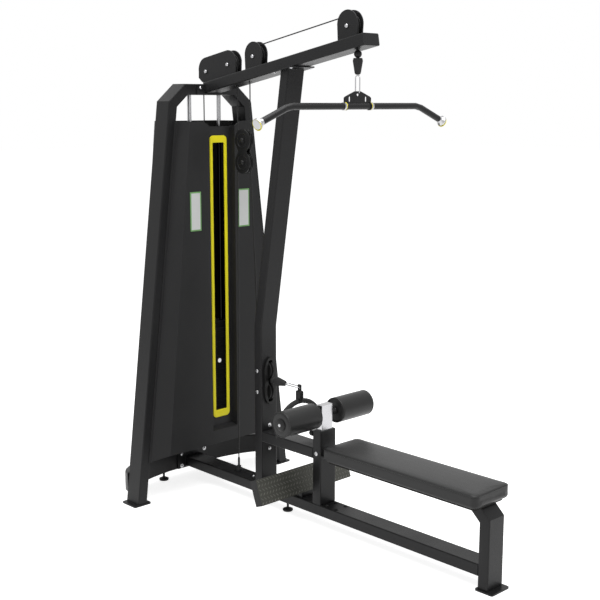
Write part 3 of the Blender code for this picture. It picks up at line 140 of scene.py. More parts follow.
# painted shade: multiplies the rods' colour down below the shroud's top
rod_mix = rod_tree.nodes.new("ShaderNodeMix")
rod_mix.data_type = "RGBA"
rod_mix.blend_type = "MULTIPLY"
rod_mix.inputs[0].default_value = 1.0
rod_tree.links.new(rod_place.outputs["Object"], rod_parts.inputs[0])
rod_tree.links.new(rod_parts.outputs["Z"], rod_fade.inputs["Value"])
rod_tree.links.new(rod_tone, rod_mix.inputs[6])
rod_tree.links.new(rod_fade.outputs["Result"], rod_mix.inputs[7])
rod_tree.links.new(rod_mix.outputs[2], rod_shader.inputs["Base Color"])


# CAD nodes: every solid keeps its shape. Round pieces are shaded smooth, hard edges get the small
# radius of bent tube or moulding, and each takes its own finish.
def dress(names, material, edge=0.0012):
    for name in names.split():
        piece = nodes[name]
        mesh = piece.data
        if "custom_normal" in mesh.attributes:
            mesh.attributes.remove(mesh.attributes["custom_normal"])
        mesh.shade_smooth()
        for holder in piece.material_slots:
            holder.material = material
        joined = piece.modifiers.new("joined", "WELD")
        joined.merge_threshold = 0.00002
        if edge:
            round_edge = piece.modifiers.new("edge", "BEVEL")
            round_edge.width = edge
            round_edge.segments = 2
            round_edge.limit_method = "ANGLE"
            round_edge.angle_limit = radians(32)
        flat = piece.modifiers.new("flat", "WEIGHTED_NORMAL")
        flat.weight = 100


def two_tone(name, material, chosen):
    """Give the faces that chosen() picks by their middle a second finish."""
    piece = nodes[name]
    piece.data.materials.append(material)
    last = len(piece.data.materials) - 1
    for face in piece.data.polygons:
        if chosen(piece.matrix_world @ face.center):
            face.material_index = last


dress("tower_arch tower_leg_near tower_leg_far", powder, 0.0004)
dress("rear_base_bow base_tube front_post mast top_beam upper_rail seat_post stack_seat footrest_bracket"
      " rear_bracket middle_bracket front_bracket lat_bar", powder)
dress("shroud_front shroud_rear", shroud_coat, 0.0008)
dress("window_bezel", yellow, 0.0015)
dress("selector_stem", iron, 0.0006)
dress("guide_rod_near guide_rod_far", rod_steel, 0.0006)
dress("selector_pin roller_post roller_bar bar_cap_near bar_cap_far"
      " lat_hook row_hook row_axle_upper row_axle_lower", chrome, 0.0006)
dress("floating_block block_pulley_upper block_pulley_lower pulley_rear_1 pulley_rear_2 pulley_middle"
      " pulley_front row_pulley_upper row_pulley_lower row_outlet pop_pin", plastic, 0.0008)
dress("row_handle lat_stop row_stop levelling_foot_near levelling_foot_far levelling_foot_middle"
      " stack_bumper", rubber, 0.0005)
dress("plates_lifted plates_resting cable_anchor", iron, 0.0005)
dress("footrest_plate", tread_metal, 0.0008)
dress("seat_board", wood, 0.001)
REAR_SHEET = 0.003        # the shroud's sheet
rear_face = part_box("shroud_rear")[0][0]
# painted shade on the inner face of the rear sheet
two_tone("shroud_rear", inside,
         lambda c: rear_face + REAR_SHEET * 0.8 < c.x < rear_face + REAR_SHEET * 1.2)
BRACKET_SKIN = 0.0212     # faces of a plate pair further out than its skin are bolt heads
BLOCK_SKIN = 0.0132
for plate_pair, skin in (("rear_bracket", BRACKET_SKIN), ("middle_bracket", BRACKET_SKIN),
                         ("front_bracket", BRACKET_SKIN), ("floating_block", BLOCK_SKIN)):
    two_tone(plate_pair, chrome, lambda c, o=skin: abs(c.y) > o)
FOLDED_END = 0.0045       # a folded end of the footrest, with a little room
FLANGE_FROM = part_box("footrest_plate")[1][1] - FOLDED_END
two_tone("footrest_plate", powder, lambda c: abs(c.y) > FLANGE_FROM)
roller_low, roller_high = (Vector(c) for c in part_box("roller_near"))
AXIS_X = (roller_low.x + roller_high.x) / 2
AXIS_Z = (roller_low.z + roller_high.z) / 2
ROLLER_END = -roller_low.y
CAP_HUB = 0.0084          # the bright hub in the middle of a roller's end cap
BAR_SKIN = 0.0145         # anything further out on the roller bar is a moulded collar or cap


def moulded(c):
    out = ((c.z - AXIS_Z) ** 2 + (c.x - AXIS_X) ** 2) ** 0.5
    return out > BAR_SKIN or (abs(c.y) > ROLLER_END and out > CAP_HUB)


two_tone("roller_bar", plastic, moulded)
LATCH_BARREL = 0.042      # bright barrel of the spring latch, out from the seat post
post_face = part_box("seat_post")[0][0]
two_tone("pop_pin", chrome, lambda c: c.x > post_face - LATCH_BARREL)


def keep(name, bm, material, body, smooth=True):
    """Make a finished piece at the origin and let it ride on a body."""
    bmesh.ops.recalc_face_normals(bm, faces=bm.faces)
    mesh = bpy.data.meshes.new(name)
    bm.to_mesh(mesh)
    bm.free()
    mesh.materials.append(material)
    if smooth:
        mesh.shade_smooth()
        mesh.set_sharp_from_angle(angle=radians(40))
    made = bpy.data.objects.new(name, mesh)
    scene.collection.objects.link(made)
    if body:
        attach(made, body)
    return made


def apply_modifiers(piece):
    """Turn a piece with modifiers into a plain mesh."""
    shape = piece.evaluated_get(bpy.context.evaluated_depsgraph_get())
    mesh = bpy.data.meshes.new_from_object(shape)
    piece.modifiers.clear()
    piece.data = mesh


# Padded pieces. The seat and both rollers are vinyl over foam: the solid is remeshed, cloth pressure
# swells the cover between its held edges, and the swelling is capped at a millimetre or so.
COVER_PRESSURE = 4.0
COVER_FRAMES = 20


def plump(name, node, body, voxel, swell, held):
    source = nodes[node]
    mesh = source.data.copy()
    mesh.transform(source.matrix_world)
    mesh.materials.clear()
    mesh.materials.append(vinyl)
    made = bpy.data.objects.new(name, mesh)
    scene.collection.objects.link(made)
    skin = made.modifiers.new("skin", "REMESH")
    skin.mode = "VOXEL"
    skin.voxel_size = voxel
    ease = made.modifiers.new("ease", "SMOOTH")
    ease.factor = 0.5
    ease.iterations = 2
    apply_modifiers(made)
    rest = [v.co.copy() for v in made.data.vertices]
    group = made.vertex_groups.new(name="held")
    for number, point in enumerate(rest):
        if held(point):
            group.add([number], 1.0, "REPLACE")
    cover = made.modifiers.new("cover", "CLOTH")
    cover.settings.use_pressure = True
    cover.settings.uniform_pressure_force = COVER_PRESSURE
    cover.settings.effector_weights.gravity = 0.0
    cover.settings.vertex_group_mass = "held"
    cover.point_cache.frame_start = 1
    cover.point_cache.frame_end = COVER_FRAMES
    for number in range(1, COVER_FRAMES + 1):
        scene.frame_set(number)
    apply_modifiers(made)
    scene.frame_set(1)
    for vert, start in zip(made.data.vertices, rest):
        move = vert.co - start
        if move.length > swell:
            vert.co = start + move * (swell / move.length)
    made.data.shade_smooth()
    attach(made, body)
    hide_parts(node)
    return made


seat_low, seat_high = (Vector(c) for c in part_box("seat_pad"))
SEAT_HELD = 0.012         # the lower edge, where the cover is fixed to the board
plump("seat_cushion", "seat_pad", "frame", voxel=0.005, swell=0.0015,
      held=lambda p: p.z < seat_low.z + SEAT_HELD)
CORE = 0.034              # the cover is tied round the bar inside this radius
for side in ("near", "far"):
    plump("roller_cover_" + side, "roller_" + side, "thigh_roller_" + side, voxel=0.004, swell=0.0008,
          held=lambda p: (p.x - AXIS_X) ** 2 + (p.z - AXIS_Z) ** 2 < CORE ** 2)


# Welts: a thin corded seam of the same vinyl, sewn in where the seat's top panel meets its sides
# and where each roller's wrap meets its end discs.
def tube(bm, points, radius, sides=8, closed=False):
    """Round tube along points, turned steadily from ring to ring."""
    rings = []
    count = len(points)
    side = None
    for i, point in enumerate(points):
        ahead = points[(i + 1) % count] if closed or i < count - 1 else points[i]
        back = points[i - 1] if closed or i else points[i]
        run = (ahead - back).normalized()
        if side is None:
            side = run.orthogonal().normalized()
        side = (side - run * side.dot(run)).normalized()
        other = run.cross(side)
        turns = [2 * pi * k / sides for k in range(sides)]
        rings.append([bm.verts.new(point + (side * cos(a) + other * sin(a)) * radius) for a in turns])
    for i in range(count if closed else count - 1):
        low, high = rings[i], rings[(i + 1) % count]
        for k in range(sides):
            n = (k + 1) % sides
            bm.faces.new((low[k], low[n], high[n], high[k]))
    if not closed:
        bm.faces.new(rings[0][::-1])
        bm.faces.new(rings[-1])


def hoop(x, y, z, radius, steps):
    """Ring of points about an axle that runs across the machine."""
    turns = [2 * pi * k / steps for k in range(steps)]
    return [Vector((x + radius * cos(a), y, z + radius * sin(a))) for a in turns]


WELT = 0.0022
WELT_DOWN = 0.0095        # seam below the crown
WELT_IN = 0.0012          # seam inside the pad's outline
WELT_CORNER = 0.031
CORNER_STEPS = 8
welt_path = []
for corner, (su, sv) in enumerate(((1, 1), (-1, 1), (-1, -1), (1, -1))):
    for k in range(CORNER_STEPS + 1):
        turn = (corner + k / CORNER_STEPS) * pi / 2
        reach = WELT_CORNER + WELT_IN
        cx = (seat_high.x - reach) if su > 0 else (seat_low.x + reach)
        cy = sv * (seat_high.y - reach)
        welt_path.append(Vector((cx + WELT_CORNER * cos(turn), cy + WELT_CORNER * sin(turn),
                                 seat_high.z - WELT_DOWN)))
bm = bmesh.new()
tube(bm, welt_path, WELT, closed=True)
welt = keep("seat_welt", bm, vinyl, "frame")
SEAM_DOWN = 0.0025        # seam ring under a roller's skin
SEAM_IN = 0.0022          # seam ring inside a roller's end
SEAM_STEPS = 48
SEAM_RADIUS = (roller_high.z - roller_low.z) / 2 - SEAM_DOWN
for side, tag in ((-1, "near"), (1, "far")):
    for edge, y in (("outer", ROLLER_END - SEAM_IN), ("inner", -roller_high.y + SEAM_IN)):
        bm = bmesh.new()
        tube(bm, hoop(AXIS_X, side * y, AXIS_Z, SEAM_RADIUS, SEAM_STEPS), WELT, closed=True)
        keep("roller_seam_" + edge + "_" + tag, bm, vinyl, "thigh_roller_" + tag)


# Cables. Each straight run is laid between the pieces at its two ends as they stand and rides on no body;
# the turns round the pulleys stay with the pulley's bracket or block.
CABLE = 0.0030            # radius over the black cover
GROOVE = 0.048            # radius of the cable's path round a pulley
RUN_STEPS = 12
CABLE_SIDES = 10


def centre(node):
    low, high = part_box(node)
    return (Vector(low) + Vector(high)) / 2


def arc(node, start, end, steps=14):
    """Cable round a pulley between two angles in degrees, seen from the near side."""
    middle = centre(node)
    turns = [radians(start + (end - start) * k / steps) for k in range(steps + 1)]
    return [Vector((middle.x + GROOVE * cos(a), 0.0, middle.z + GROOVE * sin(a))) for a in turns]


def strand(name, points, a, b=None):
    """One length of cable: on body a alone, or a straight run laid from body a to body b and left on no
    body.
    """
    bm = bmesh.new()
    if b:
        points = [points[0].lerp(points[1], k / RUN_STEPS) for k in range(RUN_STEPS + 1)]
    tube(bm, points, CABLE, CABLE_SIDES)
    piece = keep(name, bm, rope, None if b else a)
    if b:
        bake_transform(piece)
    return piece


SLOPE = 10.18             # the beam's rise in degrees
SOCKET = 0.002            # how far a cable's end sits in the stem or the stud
BALL_SEAT = 0.001         # how far it sits in a stop ball
OUTLET_LIP = 0.001        # how far the turn reaches out of the row outlet
rear_turn = arc("pulley_rear_1", 180, 90 + SLOPE) + arc("pulley_rear_2", 90 + SLOPE, 0)
block_under = arc("block_pulley_upper", 180, 360)
front_turn = arc("pulley_middle", 180, 90 + SLOPE) + arc("pulley_front", 90 + SLOPE, 0)
block_over = arc("block_pulley_lower", 180, 0)
row_turn = arc("row_pulley_upper", 180, 270)
stem_top = Vector((rear_turn[0].x, 0.0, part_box("selector_stem")[1][2] - SOCKET))
bar_ball = Vector((front_turn[-1].x, 0.0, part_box("lat_stop")[1][2] - BALL_SEAT))
stud_top = Vector((centre("cable_anchor").x, 0.0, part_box("cable_anchor")[1][2] - SOCKET))
row_ball = Vector((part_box("row_stop")[0][0] + BALL_SEAT, 0.0, row_turn[-1].z))
row_exit = Vector((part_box("row_outlet")[1][0] + OUTLET_LIP, 0.0, row_turn[-1].z))
lat_runs = [strand("lat_cable_stem", [stem_top, rear_turn[0]], "stem", "frame"),
            strand("lat_cable_rear", rear_turn, "frame"),
            strand("lat_cable_down", [rear_turn[-1], block_under[0]], "frame", "block"),
            strand("lat_cable_block", block_under, "block"),
            strand("lat_cable_up", [block_under[-1], front_turn[0]], "block", "frame"),
            strand("lat_cable_front", front_turn, "frame"),
            strand("lat_cable_bar", [front_turn[-1], bar_ball], "frame", "lat_line")]
row_runs = [strand("row_cable_anchor", [stud_top, block_over[0]], "frame", "block"),
            strand("row_cable_block", block_over, "block"),
            strand("row_cable_down", [block_over[-1], row_turn[0]], "block", "frame"),
            strand("row_cable_turn", row_turn + [row_exit], "frame"),
            strand("row_cable_handle", [row_exit, row_ball], "frame", "row_line")]
for run in lat_runs:
    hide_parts("lat_cable")
for run in row_runs:
    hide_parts("row_cable")


# Bolts: bright domed heads on washers clamp the flanges, the mast and the posts; those of the foot and
# the hubs of the floating block are black. A node tree puts one on every point, facing its own way.
bolts = bpy.data.node_groups.new("dome_bolts", "GeometryNodeTree")
bolts.interface.new_socket("Geometry", in_out="INPUT", socket_type="NodeSocketGeometry")
bolt_size = bolts.interface.new_socket("Diameter", in_out="INPUT", socket_type="NodeSocketFloat")
bolt_skin = bolts.interface.new_socket("Finish", in_out="INPUT", socket_type="NodeSocketMaterial")
bolts.interface.new_socket("Geometry", in_out="OUTPUT", socket_type="NodeSocketGeometry")
b_in = bolts.nodes.new("NodeGroupInput")
b_out = bolts.nodes.new("NodeGroupOutput")
b_dome = bolts.nodes.new("GeometryNodeMeshUVSphere")
b_dome.inputs["Segments"].default_value = 20
b_dome.inputs["Rings"].default_value = 10
b_dome.inputs["Radius"].default_value = 0.40
b_squash = bolts.nodes.new("GeometryNodeTransform")
b_squash.inputs["Scale"].default_value = (1.0, 1.0, 0.75)
b_washer = bolts.nodes.new("GeometryNodeMeshCylinder")
b_washer.inputs["Vertices"].default_value = 24
b_washer.inputs["Radius"].default_value = 0.55
b_washer.inputs["Depth"].default_value = 0.14
b_join = bolts.nodes.new("GeometryNodeJoinGeometry")
b_facing = bolts.nodes.new("GeometryNodeInputNamedAttribute")
b_facing.data_type = "FLOAT_VECTOR"
b_facing.inputs["Name"].default_value = "facing"
b_align = bolts.nodes.new("FunctionNodeAlignRotationToVector")
b_align.axis = "Z"
b_put = bolts.nodes.new("GeometryNodeInstanceOnPoints")
b_real = bolts.nodes.new("GeometryNodeRealizeInstances")
b_paint = bolts.nodes.new("GeometryNodeSetMaterial")
for start, end in ((b_dome.outputs["Mesh"], b_squash.inputs["Geometry"]),
                   (b_squash.outputs["Geometry"], b_join.inputs[0]),
                   (b_washer.outputs["Mesh"], b_join.inputs[0]),
                   (b_in.outputs["Geometry"], b_put.inputs["Points"]),
                   (b_join.outputs[0], b_put.inputs["Instance"]),
                   (b_facing.outputs["Attribute"], b_align.inputs["Vector"]),
                   (b_align.outputs["Rotation"], b_put.inputs["Rotation"]),
                   (b_in.outputs["Diameter"], b_put.inputs["Scale"]),
                   (b_put.outputs["Instances"], b_real.inputs["Geometry"]),
                   (b_real.outputs["Geometry"], b_paint.inputs["Geometry"]),
                   (b_in.outputs["Finish"], b_paint.inputs["Material"]),
                   (b_paint.outputs["Geometry"], b_out.inputs["Geometry"])):
    bolts.links.new(start, end)


def bolt_group(name, places, diameter, material, body="frame"):
    """Bolts at (x from the tower, y, z, facing)."""
    mesh = bpy.data.meshes.new(name)
    mesh.from_pydata([(TOWER_X + x, y, z) for x, y, z, facing in places], [], [])
    facing = mesh.attributes.new("facing", "FLOAT_VECTOR", "POINT")
    for item, place in zip(facing.data, places):
        item.vector = place[3]
    made = bpy.data.objects.new(name, mesh)
    scene.collection.objects.link(made)
    maker = made.modifiers.new("bolts", "NODES")
    maker.node_group = bolts
    maker[bolt_size.identifier] = diameter
    maker[bolt_skin.identifier] = material
    apply_modifiers(made)
    made.data.shade_smooth()
    made.data.set_sharp_from_angle(angle=radians(40))
    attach(made, body)
    return made


AHEAD = (1, 0, 0)
UP = (0, 0, 1)
both = (-1, 1)
BOLT = 0.020              # washers are a little wider than this
SMALL_BOLT = 0.018
HAIR = 0.0002             # room between a piece and the face that it lies on
FLANGE_THICK = 0.0083
FLANGE_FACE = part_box("base_tube")[0][0] + FLANGE_THICK - TOWER_X
FLANGE_BOLT_Y = 0.080
FLANGE_BOLT_Z = (0.066, 0.133)
BEAM_FLANGE_FACE = 0.0517
BEAM_BOLT_Y = 0.077
BEAM_BOLT_Z = 2.129
bolt_group("flange_bolts", [(FLANGE_FACE, s * FLANGE_BOLT_Y, z, AHEAD) for s in both for z in FLANGE_BOLT_Z]
           + [(BEAM_FLANGE_FACE, s * BEAM_BOLT_Y, BEAM_BOLT_Z, AHEAD) for s in both], BOLT, chrome)
MAST_HEAD = (0.652, 2.2042)
HEAD_BOLT_Y = 0.0655
HEAD_BOLT_ALONG = (-0.054, 0.058)
HEAD_RISE = 0.18
HEAD_FACING = (-0.177, 0, 0.984)
bolt_group("mast_head_bolts", [(MAST_HEAD[0] + d, s * HEAD_BOLT_Y, MAST_HEAD[1] + HEAD_RISE * d, HEAD_FACING)
                               for s in both for d in HEAD_BOLT_ALONG], BOLT, chrome)
MAST_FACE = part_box("upper_rail")[0][0] - TOWER_X
MAST_BOLT_Z = (0.424, 0.300)
bolt_group("mast_bolts", [(MAST_FACE, 0.0, z, AHEAD) for z in MAST_BOLT_Z], BOLT, chrome)
BASE_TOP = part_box("cable_anchor")[0][2]
POST_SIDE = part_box("seat_post")[1][1] + HAIR
POST_BOLT = (0.872, 0.375)
ARM_BOLT = (0.708, 0.140)
ARM_SIDE = 0.0402
RAIL_BOLT_X = 0.348
bolt_group("post_bolts", [(POST_BOLT[0], s * POST_SIDE, POST_BOLT[1], (0, s, 0)) for s in both]
           + [(ARM_BOLT[0], s * ARM_SIDE, ARM_BOLT[1], (0, s, 0)) for s in both]
           + [(RAIL_BOLT_X, 0.0, BASE_TOP, UP)], SMALL_BOLT, chrome)
FOOT_BOLT_X = (0.925, 0.990)
FOOT_BOLT_Y = 0.032
bolt_group("foot_bolts", [(x, s * FOOT_BOLT_Y, BASE_TOP, UP) for s in both for x in FOOT_BOLT_X],
           BOLT, plastic)
HUB = 0.034
wheels = [centre("block_pulley_upper"), centre("block_pulley_lower")]
bolt_group("block_hubs", [(w.x - TOWER_X, s * BLOCK_SKIN, w.z, (0, s, 0)) for s in both for w in wheels],
           HUB, plastic, "block")


# Tread pattern on the footrest: raised lozenges rolled into the steel sheet, in rows, with every
# second one turned the other way. A node tree sets them on a grid over the plate's face.
LUG_COLUMNS = 31
LUG_ROWS = 6
LUG_HALF = (0.0085, 0.0026, 0.0014)
LUG_MARGIN = (0.024, 0.020)   # bare edge of the plate, both sides together
tread = bpy.data.node_groups.new("tread_lugs", "GeometryNodeTree")
tread.interface.new_socket("Geometry", in_out="INPUT", socket_type="NodeSocketGeometry")
lug_long = tread.interface.new_socket("Wide", in_out="INPUT", socket_type="NodeSocketFloat")
lug_high = tread.interface.new_socket("High", in_out="INPUT", socket_type="NodeSocketFloat")
lug_skin = tread.interface.new_socket("Finish", in_out="INPUT", socket_type="NodeSocketMaterial")
tread.interface.new_socket("Geometry", in_out="OUTPUT", socket_type="NodeSocketGeometry")
t_in = tread.nodes.new("NodeGroupInput")
t_out = tread.nodes.new("NodeGroupOutput")
t_grid = tread.nodes.new("GeometryNodeMeshGrid")
t_grid.inputs["Vertices X"].default_value = LUG_COLUMNS
t_grid.inputs["Vertices Y"].default_value = LUG_ROWS
t_lug = tread.nodes.new("GeometryNodeMeshUVSphere")
t_lug.inputs["Segments"].default_value = 10
t_lug.inputs["Rings"].default_value = 6
t_lug.inputs["Radius"].default_value = 1.0
t_shape = tread.nodes.new("GeometryNodeTransform")
t_shape.inputs["Scale"].default_value = LUG_HALF
t_index = tread.nodes.new("GeometryNodeInputIndex")
t_odd = tread.nodes.new("ShaderNodeMath")
t_odd.operation = "MODULO"
t_odd.inputs[1].default_value = 2.0
t_turn = tread.nodes.new("ShaderNodeMath")
t_turn.operation = "MULTIPLY_ADD"
t_turn.inputs[1].default_value = pi / 2
t_turn.inputs[2].default_value = pi / 4
t_euler = tread.nodes.new("ShaderNodeCombineXYZ")
t_put = tread.nodes.new("GeometryNodeInstanceOnPoints")
t_real = tread.nodes.new("GeometryNodeRealizeInstances")
t_paint = tread.nodes.new("GeometryNodeSetMaterial")
for start, end in ((t_in.outputs["Wide"], t_grid.inputs["Size X"]),
                   (t_in.outputs["High"], t_grid.inputs["Size Y"]),
                   (t_grid.outputs["Mesh"], t_put.inputs["Points"]),
                   (t_lug.outputs["Mesh"], t_shape.inputs["Geometry"]),
                   (t_shape.outputs["Geometry"], t_put.inputs["Instance"]),
                   (t_index.outputs[0], t_odd.inputs[0]),
                   (t_odd.outputs[0], t_turn.inputs[0]),
                   (t_turn.outputs[0], t_euler.inputs["Z"]),
                   (t_euler.outputs[0], t_put.inputs["Rotation"]),
                   (t_put.outputs["Instances"], t_real.inputs["Geometry"]),
                   (t_real.outputs["Geometry"], t_paint.inputs["Geometry"]),
                   (t_in.outputs["Finish"], t_paint.inputs["Material"]),
                   (t_paint.outputs["Geometry"], t_out.inputs["Geometry"])):
    tread.links.new(start, end)
TREAD_LOW = Vector((TOWER_X + 0.762, 0.0, 0.144))
TREAD_HIGH = 0.128
TREAD_HALF = 0.310
TREAD_TILT = radians(20)
rise = Vector((-sin(TREAD_TILT), 0, cos(TREAD_TILT)))
face_out = Vector((cos(TREAD_TILT), 0, sin(TREAD_TILT)))
lugs = bpy.data.objects.new("tread_lugs", bpy.data.meshes.new("tread_lugs"))
scene.collection.objects.link(lugs)
lug_maker = lugs.modifiers.new("lugs", "NODES")
lug_maker.node_group = tread
lug_maker[lug_long.identifier] = 2 * TREAD_HALF - LUG_MARGIN[0]
lug_maker[lug_high.identifier] = TREAD_HIGH - LUG_MARGIN[1]
# painted highlight on the lugs
lug_maker[lug_skin.identifier] = lug_highlight_steel
apply_modifiers(lugs)
lugs.data.shade_smooth()
tread_middle = TREAD_LOW + rise * (TREAD_HIGH / 2) + face_out * HAIR
lugs.data.transform(Matrix.Translation(tread_middle) @ Matrix((
    (0, rise.x, face_out.x, 0), (1, 0, 0, 0), (0, rise.z, face_out.z, 0), (0, 0, 0, 1))))
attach(lugs, "frame")


# Placards: two thin blank plates on the shroud's front faces, pale with a green border. The face
# stands a little proud of the border.
pale = coat("placard_face", (0.62, 0.63, 0.62), 0.45)
green = coat("placard_border", (0.16, 0.36, 0.12), 0.45)


def slab_box(bm, low, high):
    corners = [bm.verts.new((x, y, z)) for x in (low[0], high[0]) for y in (low[1], high[1])
               for z in (low[2], high[2])]
    for a, b, c, d in ((0, 1, 3, 2), (4, 6, 7, 5), (0, 4, 5, 1), (2, 3, 7, 6), (0, 2, 6, 4), (1, 5, 7, 3)):
        bm.faces.new((corners[a], corners[b], corners[c], corners[d]))


FACET_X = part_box("shroud_front")[1][0]
PLACARD_Z = (1.410, 1.609)
PLACARD_Y = (("near", -0.215, -0.145), ("far", 0.103, 0.180))
BORDER = 0.007
BORDER_OUT = (0.0002, 0.0014)   # back and front of the border and of the face, out from the sheet
FACE_OUT = (0.0015, 0.0022)
for tag, low_y, high_y in PLACARD_Y:
    bm = bmesh.new()
    slab_box(bm, (FACET_X + BORDER_OUT[0], low_y, PLACARD_Z[0]),
             (FACET_X + BORDER_OUT[1], high_y, PLACARD_Z[1]))
    keep("placard_border_" + tag, bm, green, "frame", False)
    bm = bmesh.new()
    slab_box(bm, (FACET_X + FACE_OUT[0], low_y + BORDER, PLACARD_Z[0] + BORDER),
             (FACET_X + FACE_OUT[1], high_y - BORDER, PLACARD_Z[1] - BORDER))
    keep("placard_face_" + tag, bm, pale, "frame", False)


# Lat bar dress: at each end of the hanger a black flange, a yellow ring and a bright collar, and a
# yellow ring on each end cap.
BAR_X = centre("lat_bar").x
BAR_Z = 2.038
RING_SIDES = 28
BAR_RINGS = (("bar_flange_", 0.0740, 0.0805, 0.0184, plastic, "black_plastic"),   # from, to, radius
             ("bar_collar_ring_", 0.0805, 0.0840, 0.0182, yellow, "yellow_plastic"),
             ("bar_collar_", 0.0840, 0.0940, 0.0180, chrome, "chrome"))
END_RUN = (0.135, 0.054)        # the bar's bent end, outward and down
CAP_FACE = 0.0155
CAP_RING = (0.0095, 0.0130)
CAP_RING_RADIUS = 0.0253


def ring(name, start, end, radius, material):
    bm = bmesh.new()
    tube(bm, [start, end], radius, RING_SIDES)
    keep(name, bm, material, "pull_bar")


for side, tag in ((-1, "near"), (1, "far")):
    for label, start, end, radius, material, slot_name in BAR_RINGS:
        ring(label + tag, Vector((BAR_X, side * start, BAR_Z)), Vector((BAR_X, side * end, BAR_Z)),
             radius, material)
    cap = centre("bar_cap_" + tag)
    along = Vector((0.0, side * END_RUN[0], -END_RUN[1])).normalized()
    two_tone("bar_cap_" + tag, cap_grey, lambda c, m=cap, a=along: (c - m).dot(a) > CAP_FACE)
    ring("bar_end_ring_" + tag, cap + along * CAP_RING[0], cap + along * CAP_RING[1], CAP_RING_RADIUS,
         yellow)


# Row handle clip: a black moulded body with rounded edges, closed round the stirrup's strap between
# the hook and the grip.
CLIP_HALF = (0.019, 0.012)
CLIP_UNDER = 0.014        # clear of the hook
CLIP_FOOT = 0.154         # lower end, over the handle's lowest point
CLIP_EDGE = 0.006
clip_low, clip_high = (Vector(c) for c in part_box("row_handle"))
clip_x = (clip_low.x + clip_high.x) / 2
clip_z = (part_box("row_hook")[0][2] - CLIP_UNDER, clip_low.z + CLIP_FOOT)
bm = bmesh.new()
bmesh.ops.create_cube(bm, size=1.0)
for vert in bm.verts:
    vert.co = (clip_x + vert.co.x * 2 * CLIP_HALF[0], vert.co.y * 2 * CLIP_HALF[1],
               clip_z[1] + (vert.co.z + 0.5) * (clip_z[0] - clip_z[1]))
bmesh.ops.bevel(bm, geom=bm.edges[:], offset=CLIP_EDGE, segments=4, affect="EDGES", profile=0.5)
keep("handle_clip", bm, plastic, "stirrup")


# Floating block dress: a raised ring moulded into the plate on each side of each wheel, about the
# hub that is set among the bolts.
RIDGE = 0.0020
RIDGE_RADIUS = 0.036
RIDGE_OUT = 0.0134
RIDGE_STEPS = 40
for wheel in ("upper", "lower"):
    middle = centre("block_pulley_" + wheel)
    for side, tag in ((-1, "near"), (1, "far")):
        bm = bmesh.new()
        tube(bm, hoop(middle.x, side * RIDGE_OUT, middle.z, RIDGE_RADIUS, RIDGE_STEPS), RIDGE, closed=True)
        keep("block_ridge_" + wheel + "_" + tag, bm, plastic, "block")


# Studio: a pale floor and a white surround, with a broad soft light overhead and a weaker one from
# the front. Floor and surround look white to the eye but light the machine only at a plain level.
def seen_rays(tree, light_path):
    """One for rays that show the surround: from the camera, off polished faces and through clear ones."""
    total = light_path.outputs["Is Camera Ray"]
    for kind in ("Is Glossy Ray", "Is Transmission Ray"):
        add = tree.nodes.new("ShaderNodeMath")
        add.operation = "ADD"
        add.use_clamp = True
        tree.links.new(total, add.inputs[0])
        tree.links.new(light_path.outputs[kind], add.inputs[1])
        total = add.outputs[0]
    return total


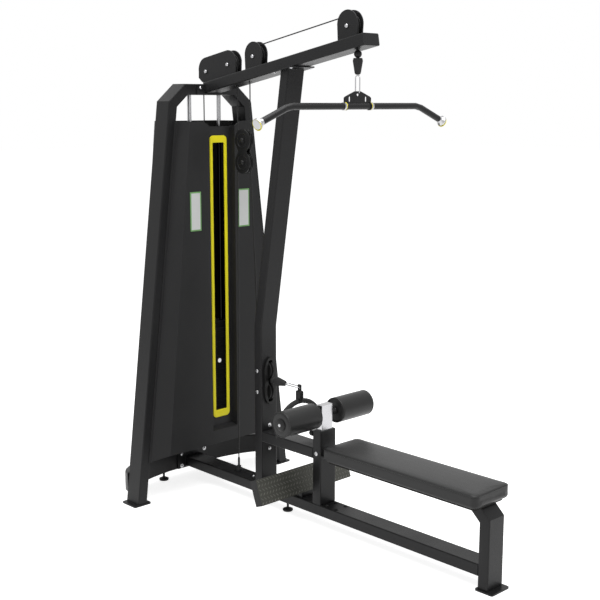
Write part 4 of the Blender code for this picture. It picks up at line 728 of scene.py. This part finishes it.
FLOOR = 40.0
FLOOR_DOWN = 0.0005
FLOOR_TONE = (0.90, 0.90, 0.90, 1.0)
FLOOR_GLOW = 0.80
WHITE = (1.0, 1.0, 1.0, 1.0)
floor_mesh = bpy.data.meshes.new("floor")
floor_mesh.from_pydata([(-FLOOR, -FLOOR, 0), (FLOOR, -FLOOR, 0), (FLOOR, FLOOR, 0), (-FLOOR, FLOOR, 0)],
                       [], [(0, 1, 2, 3)])
floor = bpy.data.objects.new("floor", floor_mesh)
floor.location.z = -FLOOR_DOWN
scene.collection.objects.link(floor)
paint = bpy.data.materials.new("floor_paint")
paint.use_nodes = True
paint_tree = paint.node_tree
paint_shader = paint_tree.nodes["Principled BSDF"]
paint_shader.inputs["Base Color"].default_value = FLOOR_TONE
paint_shader.inputs["Roughness"].default_value = 0.9
paint_shader.inputs["Specular IOR Level"].default_value = 0.0
floor_seen = paint_tree.nodes.new("ShaderNodeLightPath")
floor_lift = paint_tree.nodes.new("ShaderNodeMath")
floor_lift.operation = "MULTIPLY"
floor_lift.inputs[1].default_value = FLOOR_GLOW
paint_tree.links.new(seen_rays(paint_tree, floor_seen), floor_lift.inputs[0])
paint_tree.links.new(floor_lift.outputs[0], paint_shader.inputs["Emission Strength"])
paint_shader.inputs["Emission Color"].default_value = WHITE
floor_mesh.materials.append(paint)

SKY_LIGHT = 0.36          # strength for rays that only light the machine
world = scene.world or bpy.data.worlds.new("studio")
scene.world = world
world.use_nodes = True
sky = world.node_tree.nodes["Background"]
path = world.node_tree.nodes.new("ShaderNodeLightPath")
level = world.node_tree.nodes.new("ShaderNodeMapRange")
level.inputs["To Min"].default_value = SKY_LIGHT
level.inputs["To Max"].default_value = 1.0
world.node_tree.links.new(seen_rays(world.node_tree, path), level.inputs["Value"])
world.node_tree.links.new(level.outputs["Result"], sky.inputs["Strength"])
sky.inputs["Color"].default_value = WHITE


def soft_light(name, place, aim, size, power):
    lamp = bpy.data.lights.new(name, "AREA")
    lamp.size = size
    lamp.energy = power
    made = bpy.data.objects.new(name, lamp)
    made.location = place
    made.rotation_euler = (Vector(aim) - Vector(place)).to_track_quat("-Z", "Y").to_euler()
    scene.collection.objects.link(made)


soft_light("overhead", place=(0.6, -0.6, 4.6), aim=(0.0, 0.0, 0.6), size=4.0, power=200)
soft_light("front_high", place=(4.6, 0.8, 4.2), aim=(0.0, 0.0, 0.9), size=2.5, power=22)


# Camera: at the photograph's own place and with its lens, both fitted from the straight edges of
# the machine's tubes.
eye = bpy.data.cameras.new("photo_eye")
eye.sensor_width = 36.0
eye.lens = 65.46
camera = bpy.data.objects.new("photo_eye", eye)
camera.location = (TOWER_X + 4.4842, -3.6301, 2.05)
camera.rotation_euler = (radians(79.79), 0.0, radians(46.17))
scene.collection.objects.link(camera)
scene.camera = camera
scene.view_settings.view_transform = "Standard"
